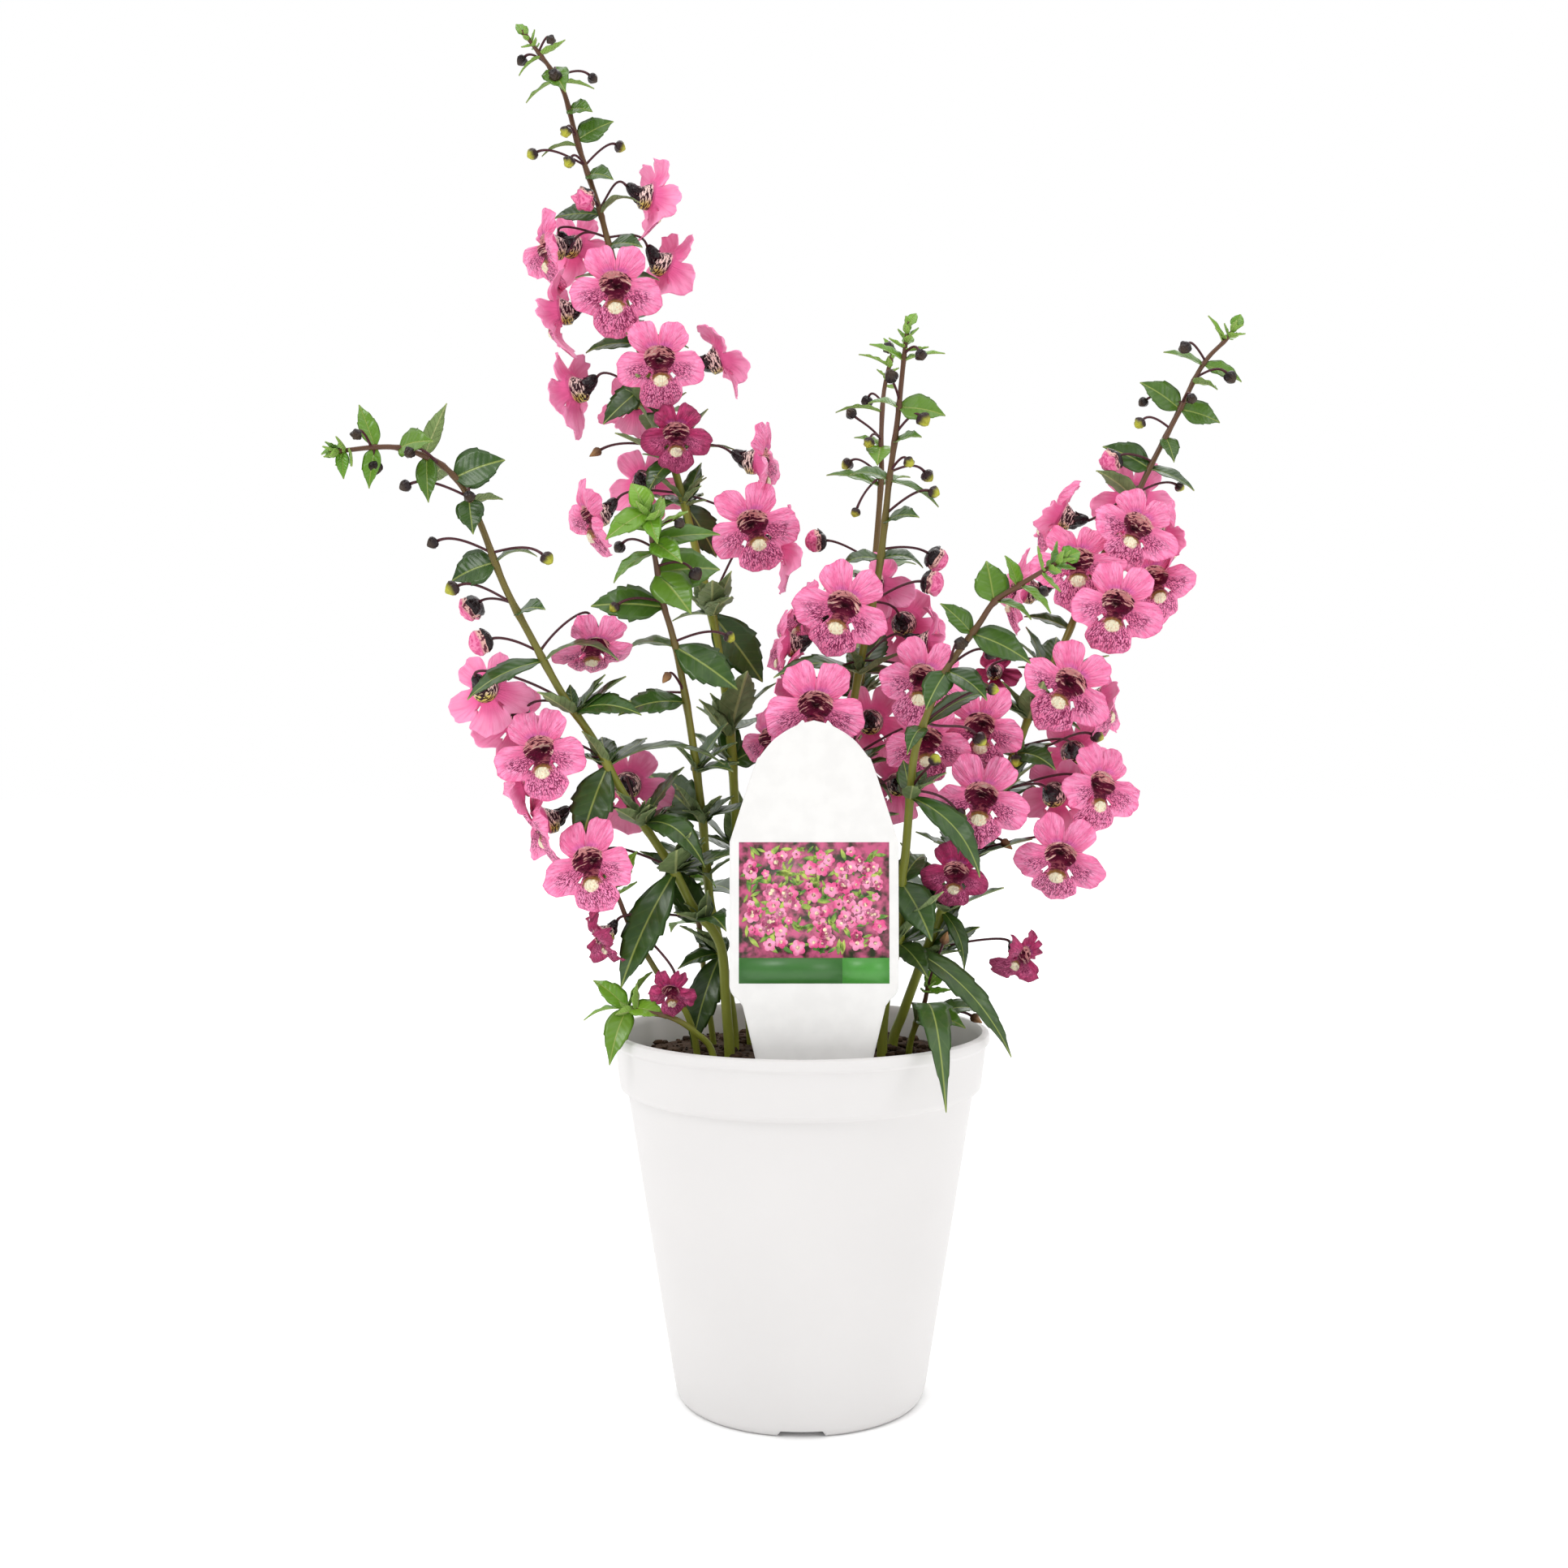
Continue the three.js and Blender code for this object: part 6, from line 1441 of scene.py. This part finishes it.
class Net:
    """A material's nodes, with short calls for the kinds used here."""

    def __init__(self, name, roughness=0.5, specular=0.5):
        self.material = bpy.data.materials.new(name)
        self.material.use_nodes = True
        self.tree = self.material.node_tree
        self.skin = self.tree.nodes["Principled BSDF"]
        self.skin.inputs["Roughness"].default_value = roughness
        self.skin.inputs["Specular IOR Level"].default_value = specular

    def wire(self, socket, value):
        if isinstance(value, Signal):
            self.tree.links.new(value.socket, socket)
        elif socket.type == "RGBA":
            socket.default_value = (*value, 1)
        else:
            socket.default_value = value

    def put(self, kind, settings, **inputs):
        node = self.tree.nodes.new("ShaderNode" + kind)
        for key, value in settings.items():
            setattr(node, key, value)
        for key, value in inputs.items():
            self.wire(node.inputs[key], value)
        return node

    def calc(self, operation, *values, clamp=False):
        node = self.put("Math", {"operation": operation, "use_clamp": clamp})
        for socket, value in zip(node.inputs, values):
            self.wire(socket, value)
        return Signal(self, node.outputs[0])

    def mark(self):
        """The marks of a piece, together and as three values."""
        node = self.put("Attribute", {"attribute_name": "mark"})
        vector = Signal(self, node.outputs["Vector"])
        parts = self.put("SeparateXYZ", {}, Vector=vector)
        return vector, *(Signal(self, part) for part in parts.outputs)

    def shade(self):
        return Signal(self, self.put("Attribute", {"attribute_name": "shade"}).outputs["Fac"])

    def place(self):
        return Signal(self, self.put("TexCoord", {}).outputs["Object"])

    def join(self, x, y, z):
        return Signal(self, self.put("CombineXYZ", {}, X=x, Y=y, Z=z).outputs[0])

    def noise(self, vector, scale, detail=2.0, distortion=0.0):
        node = self.put("TexNoise", {}, Vector=vector, Scale=scale, Detail=detail, Distortion=distortion)
        return Signal(self, node.outputs["Fac"])

    def finish(self, colour, height=None, distance=0.0, strength=1.0):
        """The finished material, in a colour and with small bumps of a height in metres."""
        self.wire(self.skin.inputs["Base Color"], colour)
        if height:
            node = self.put("Bump", {}, Height=height, Strength=strength, Distance=distance)
            self.tree.links.new(node.outputs["Normal"], self.skin.inputs["Normal"])
        return self.material


def rgb(red, green, blue):
    """A display colour of 0 to 255 as shader values."""
    shares = [value / 255 for value in (red, green, blue)]
    return tuple(s / 12.92 if s <= 0.04045 else ((s + 0.055) / 1.055) ** 2.4 for s in shares)


def round_face(net, x, y):
    """A flower's angle round its face and the distance from its middle."""
    return net.calc("ARCTAN2", x, y * -1.0), net.calc("SQRT", x * x + y * y)


def ellipse(x, y, half_width, half_height):
    """A value that is 1 on an ellipse, and less inside."""
    across, up = x / half_width, y / half_height
    return across * across + up * up


def mouth_colour(net, x, y):
    """Dark maroon, marbled with cream in the upper part."""
    level = y + x * x * 1.3
    rows = net.noise(net.join(x * 5.5, level * 16.0, net.shade() * 9.0), 1.0, 3.0, 1.2)
    dark = rows.smooth(0.25, 0.5).mix(rgb(44, 2, 18), rgb(104, 14, 52))
    cream = rows.smooth(0.56, 0.7).mix(rgb(244, 164, 164), rgb(255, 226, 208))
    needed = 0.55 - level.smooth(0.06, 0.22) * 0.13 + level.smooth(-0.06, -0.14) * 0.3
    light = net.calc("MULTIPLY", rows - needed, 18.0, clamp=True)
    streak = level.smooth(-0.1, -0.2) * rows.smooth(0.5, 0.6)
    return light.mix(dark, cream).toward(rgb(168, 84, 96), streak)


def with_vein_web(net, base, marks, polar_place, shade):
    """A net of dark veins over the lower lobes, and a violet glow above the mouth."""
    vector, x, y, p = marks
    angle, radius = polar_place
    lower = (y + abs(x) * 0.2).smooth(0.06, -0.1)
    reach = p + net.noise(vector, 5.0) * 0.3 - y.smooth(-0.45, -0.75) * 0.24
    veined = lower * reach.smooth(1.0, 0.66)
    place = net.join(angle * 13.0, radius * 7.5, shade)
    cells = net.put("TexVoronoi", {"feature": "DISTANCE_TO_EDGE"}, Vector=place, Scale=1.7)
    edges = Signal(net, cells.outputs["Distance"])
    web = edges.smooth(0.21, 0.08) * veined * net.noise(place, 2.0, 1.0).smooth(0.34, 0.5)
    base = base.toward(rgb(250, 150, 194), veined * 0.35).toward(rgb(122, 8, 68), web * 0.95)
    return base.toward(rgb(206, 100, 186), y.smooth(0.2, 0.3) * p.smooth(0.3, 0.04) * 0.6)


def with_mouth_and_pad(net, base, marks):
    """The dark mouth, its neck down to the pad, and the cream pad with a gold rim."""
    vector, x, y, _ = marks
    rough = (net.noise(vector, 14.0, 3.0) - 0.5) * 0.12
    from_mouth = ellipse(x, y - 0.02, 0.335, 0.265) + rough * 5.0
    neck = (abs(x) + rough).smooth(0.2, 0.14) * y.smooth(0.0, -0.1) * y.smooth(-0.46, -0.38)
    mouth = net.calc("MAXIMUM", from_mouth.smooth(1.12, 0.92), neck)
    base = mouth.mix(base, mouth_colour(net, x, y))
    from_pad = ellipse(x, y + 0.485, 0.152, 0.118) + rough * 9.0
    gold = from_pad.smooth(3.2, 1.2) * y.smooth(-0.52, -0.4)
    base = base.toward(rgb(158, 118, 44), gold * 0.75)
    cream = net.noise(vector, 20.0, 3.0).smooth(0.5, 0.68).mix(rgb(255, 246, 214), rgb(244, 204, 166))
    return base.toward(cream, from_pad.smooth(1.3, 0.7))


def petal_front(name, light, middle, deep, worn=0.0):
    """The face of a flower; worn is the share of dull blotches on an aged one."""
    net = Net(name, 0.5, 0.22)
    marks = net.mark()
    vector, x, y, p = marks
    angle, radius = round_face(net, x, y)
    shade = net.shade()
    streaks = net.noise(net.join(angle * 14.0, radius * 3.0, shade), 1.0, 2.0, 0.4)
    base = p.smooth(0.1, 0.7).mix(middle, light).toward(deep, streaks.smooth(0.4, 0.66) * 0.55)
    base = base.toward(deep, net.noise(vector, 4.0).smooth(0.45, 0.7) * 0.3)
    base = base.toward(deep, p.smooth(0.93, 1.0) * 0.4)
    base = with_vein_web(net, base, marks, (angle, radius), shade)
    base = with_mouth_and_pad(net, base, marks)
    if worn:
        blotch = net.noise(vector, 5.0, 4.0).smooth(0.45, 0.7)
        dull = net.calc("ADD", blotch, p.smooth(0.7, 1.0), clamp=True)
        base = base.toward(rgb(134, 52, 84), dull * worn)
    grain = net.noise(net.join(angle * 42.0, radius * 9.0, shade), 1.0, 1.0) + streaks * 2.0
    return net.finish(base, grain, 0.0005)


def throat_skin():
    net = Net("flower_throat", 0.28, 0.16)
    vector, x, y, p = net.mark()
    # Painted shade: the deep, lower part of the throat's recess is darkened toward near-black maroon
    base = mouth_colour(net, x, y).toward(rgb(44, 4, 16), p.smooth(-0.4, -0.8) * y.smooth(0.12, -0.02))
    return net.finish(base, net.noise(vector, 22.0, 3.0), 0.0005, 0.9)


def petal_back(name, light, deep):
    net = Net(name, 0.6, 0.2)
    _, x, y, p = net.mark()
    angle, radius = round_face(net, x, y)
    veins = net.noise(net.join(angle * 13.0, radius * 2.0, net.shade()), 1.0, 3.0)
    base = p.smooth(0.75, 0.1).mix(light, deep).toward(deep, veins.smooth(0.5, 0.66) * 0.4)
    return net.finish(base, veins, 0.0004, 0.8)


def pouch_skin():
    net = Net("flower_pouch", 0.3, 0.2)
    _, x, y, z = net.mark()
    stripes = net.noise(net.join(x * 9.0, y * 7.0, z * 26.0), 1.0, 3.0, 0.8)
    cream = y.smooth(-0.1, -0.28).mix(rgb(248, 214, 206), rgb(206, 190, 92))
    base = stripes.smooth(0.49, 0.55).mix(rgb(44, 6, 22), cream)
    return net.finish(base.toward(rgb(226, 98, 152), z.smooth(-0.26, -0.14)), stripes, 0.0005, 0.8)


def side_veins(net, s, aside):
    """Distance from the side veins of a leaf, which run forward from its rib."""
    return abs(net.calc("FRACT", s * 8.0 - aside * 1.5) - 0.5)


def leaf_top():
    net = Net("leaf_top", 0.3, 0.5)
    _, s, across, young = net.mark()
    shade = net.shade()
    aside = abs(across)
    patches = net.noise(net.place(), 260.0)
    old = patches.smooth(0.2, 0.8).mix(rgb(34, 58, 20), rgb(56, 82, 28)).toward(rgb(48, 88, 20), shade * 0.5)
    fresh = shade.mix(rgb(92, 142, 34), rgb(120, 164, 44))
    row = side_veins(net, s, aside)
    vein = row.smooth(0.09, 0.02) * aside.smooth(0.95, 0.5)
    rib = aside.smooth(0.07, 0.02)
    base = young.mix(old, fresh).toward(rgb(128, 148, 80), vein * 0.07).toward(rgb(150, 164, 80), rib * 0.7)
    height = (row.smooth(0.0, 0.45) * 0.8 - rib) * (aside.smooth(1.0, 0.6) * 0.22) + patches * 0.5
    return net.finish(base, height, 0.0003, 0.9)


def leaf_under():
    net = Net("leaf_underside", 0.6, 0.25)
    _, s, across, young = net.mark()
    aside = abs(across)
    patches = net.noise(net.place(), 300.0)
    old = patches.smooth(0.3, 0.7).mix(rgb(98, 116, 72), rgb(118, 134, 88))
    rib = aside.smooth(0.12, 0.04)
    base = young.mix(old, rgb(136, 172, 78)).toward(rgb(170, 178, 118), rib * 0.7)
    return net.finish(base, rib + side_veins(net, s, aside).smooth(0.12, 0.0), 0.0002, 0.7)


def stem_skin():
    """Green at the foot and brown toward the tip."""
    net = Net("stem_skin", 0.4, 0.35)
    _, share, around, height = net.mark()
    spots = net.noise(net.join(around * 6.0, height * 0.9, 0.0), 1.0, 3.0)
    low = spots.mix(rgb(104, 112, 26), rgb(142, 148, 54))
    high = spots.mix(rgb(74, 44, 38), rgb(104, 72, 44))
    return net.finish(share.smooth(0.3, 0.8).mix(low, high), spots, 0.0002, 0.5)


def bud_skin(name, ripe, tip, low, high, roughness):
    """Skin of a cup, bud or flower stalk that changes colour from its foot to its tip."""
    net = Net(name, roughness, 0.3)
    share = net.mark()[1]
    spots = net.noise(net.place(), 700.0, 3.0)
    base = (share + spots * 0.2).smooth(low, high).mix(ripe, tip)
    return net.finish(base.toward(ripe, spots.smooth(0.4, 0.7) * 0.25), spots, 0.0006, 0.9)


def pink_bud_skin():
    """Folded petals, striped where they leave the cup."""
    net = Net("pink_bud", 0.45, 0.35)
    _, share, around, _ = net.mark()
    stripes = net.noise(net.join(around * 16.0, share * 9.0, net.shade()), 1.0, 3.0)
    pink = stripes.smooth(0.4, 0.62).mix(rgb(238, 128, 172), rgb(206, 72, 128))
    banded = stripes.smooth(0.45, 0.52).mix(rgb(92, 24, 44), rgb(226, 178, 168))
    return net.finish(share.smooth(0.5, 0.66).mix(banded, pink), stripes, 0.0004, 0.7)


def pot_plastic():
    net = Net("white_pot_plastic", 0.5, 0.4)
    tint = net.noise(net.place(), 30.0, 1.0).mix(rgb(213, 211, 210), rgb(218, 216, 215))
    return net.finish(tint, net.noise(net.place(), 1400.0, 0.0), 0.00003, 0.4)


def soil_skin():
    net = Net("potting_soil", 0.95, 0.15)
    grains = net.noise(net.place(), 500.0, 6.0)
    tint = grains.smooth(0.35, 0.65).mix(rgb(30, 22, 17), rgb(68, 50, 38))
    return net.finish(tint.toward(rgb(92, 70, 52), net.shade() * 0.4), grains, 0.0012, 0.9)


def tag_plastic(name, tint, other, scale=180.0):
    net = Net(name, 0.35, 0.5)
    colour = net.noise(net.place(), scale, 3.0).smooth(0.35, 0.65).mix(tint, other)
    return net.finish(colour, net.noise(net.place(), 2500.0), 0.00001, 0.3)


# The whole plant

def young_share(leaf, route):
    """1 for small leaves at the very tip of a stem, 0 for older ones."""
    from_tip = len(route) - 1 - leaf["u"]
    near = max(0.0, min(1.0, (5.2 - from_tip) / 4.4))
    return near * max(0.0, min(1.0, (24 - np.linalg.norm(leaf["chord"])) / 12))


def make_plant():
    """Each stem with its flower stalks, cups, buds and leaves."""
    stalks, buds, leaves = grow()
    materials = [
        stem_skin(), leaf_top(), leaf_under(),
        bud_skin("flower_cup", rgb(24, 8, 14), rgb(58, 26, 32), 0.5, 0.9, 0.22),
        bud_skin("dark_bud", rgb(26, 12, 16), rgb(60, 46, 34), 0.4, 1.0, 0.28),
        bud_skin("green_bud", rgb(46, 26, 28), rgb(178, 178, 56), 0.5, 0.95, 0.3),
        pink_bud_skin(),
        bud_skin("dry_bud", rgb(96, 66, 44), rgb(150, 112, 72), 0.3, 0.9, 0.7),
        bud_skin("flower_stalk", rgb(72, 30, 38), rgb(104, 84, 44), 0.16, 0.02, 0.4),
    ]
    draw = drawer(SHADE_SEED)
    for key, route in STEMS.items():
        skin = Skin()
        add_stem(skin, key)
        for stalk in stalks:
            if stalk["stem"] == key:
                add_stalk(skin, stalk["controls"])
                add_calyx(skin, stalk["row"], draw())
        green_top = route[:, 2].max() - DARK_LENGTH
        for bud in buds:
            if bud["stem"] == key:
                add_stalk(skin, bud["controls"])
                small = GREEN_BUD if bud["centre"][2] < green_top else DARK_BUD
                add_bud(skin, bud, (small, PINK_BUD, DRY_BUD)[bud["kind"]], draw())
        for leaf in leaves[key]:
            add_leaf(skin, leaf, young_share(leaf, route), draw)
        skin.piece(f"stem_{key}_leaves", materials, f"stem_{key}", "foliage")


def make_flowers():
    """A piece for each flower, or for each group of flowers that touch."""
    throat, pouch = throat_skin(), pouch_skin()
    fresh = [
        petal_front("petal_front", rgb(255, 156, 200), rgb(253, 128, 178), rgb(240, 88, 148)), throat,
        petal_back("petal_back", rgb(252, 156, 198), rgb(236, 104, 160)), pouch,
    ]
    faded = [
        petal_front("petal_front_aged", rgb(206, 70, 124), rgb(186, 44, 100), rgb(150, 30, 82), 0.6), throat,
        petal_back("petal_back_aged", rgb(196, 78, 124), rgb(150, 40, 84)), pouch,
    ]
    nodes = {}
    for index, row in enumerate(BLOOMS):
        nodes.setdefault(row[1], []).append((index, row))
    for node, rows in nodes.items():
        skin = Skin()
        aged = node in AGED
        for index, row in rows:
            add_flower(skin, row, index, aged)
        name = f"flower_{node}" if len(rows) == 1 else f"flowers_{node}"
        skin.piece(name, faded if aged else fresh, f"bloom_{node}", "petals_aged" if aged else "petals")


# Floor, light and camera

def make_stage():
    mesh = bpy.data.meshes.new("floor")
    corners = [(x * FLOOR_REACH, y * FLOOR_REACH, 0) for x, y in ((-1, -1), (1, -1), (1, 1), (-1, 1))]
    mesh.from_pydata(corners, [], [(0, 1, 2, 3)])
    mesh.materials.append(Net("pale_floor", 0.9, 0.1).finish(rgb(255, 255, 255)))
    linked("floor", mesh)


def make_light():
    """A bright surround, darker behind the plant, and three round lamps."""
    world = bpy.data.worlds.new("studio")
    world.use_nodes = True
    tree = world.node_tree
    tree.nodes["Background"].inputs["Color"].default_value = (1, 1, 1, 1)
    heading = tree.nodes.new("ShaderNodeTexCoord")
    parts = tree.nodes.new("ShaderNodeSeparateXYZ")
    total = tree.nodes.new("ShaderNodeMath")
    tree.links.new(heading.outputs["Generated"], parts.inputs[0])
    for socket, axis, limits in ((0, "Y", WORLD_LEVEL), (1, "Z", WORLD_TOP)):
        level = tree.nodes.new("ShaderNodeMapRange")
        level.interpolation_type = "SMOOTHSTEP"
        for name, value in zip(("From Min", "From Max", "To Min", "To Max"), limits):
            level.inputs[name].default_value = value
        tree.links.new(parts.outputs[axis], level.inputs["Value"])
        tree.links.new(level.outputs["Result"], total.inputs[socket])
    tree.links.new(total.outputs[0], tree.nodes["Background"].inputs["Strength"])
    bpy.context.scene.world = world
    for name, (power, place) in LAMPS.items():
        data = bpy.data.lights.new(name, "AREA")
        data.shape, data.size, data.energy = "DISK", LAMP_SIZE, power
        lamp = linked(name, data)
        lamp.location = place
        lamp.rotation_euler = (Vector(LAMP_TARGET) - Vector(place)).to_track_quat("-Z", "Y").to_euler()


def make_camera():
    scene = bpy.context.scene
    scene.view_settings.view_transform = "Standard"
    data = bpy.data.cameras.new("camera")
    data.lens, data.sensor_width, data.clip_start = CAMERA_LENS, 36, 0.01
    camera = linked("camera", data)
    camera.location = CAMERA_PLACE
    camera.rotation_euler = (math.pi / 2 + CAMERA_PITCH, 0, 0)
    scene.camera = camera


make_pot(pot_plastic())
make_soil(soil_skin())
make_tag([
    tag_plastic("white_tag", rgb(224, 223, 221), rgb(228, 227, 225)),
    tag_plastic("print_ground", rgb(40, 50, 24), rgb(206, 92, 134), 330.0),
    tag_plastic("print_band_dark", rgb(52, 104, 44), rgb(56, 108, 46)),
    tag_plastic("print_band_light", rgb(68, 140, 54), rgb(72, 146, 58)),
    tag_plastic("print_flower", rgb(226, 78, 138), rgb(250, 160, 196), 300.0),
    tag_plastic("print_centre", rgb(132, 16, 62), rgb(250, 226, 190), 900.0),
    tag_plastic("print_leaf", rgb(70, 120, 40), rgb(178, 196, 88), 300.0),
])
make_plant()
make_flowers()
make_stage()
make_light()
make_camera()
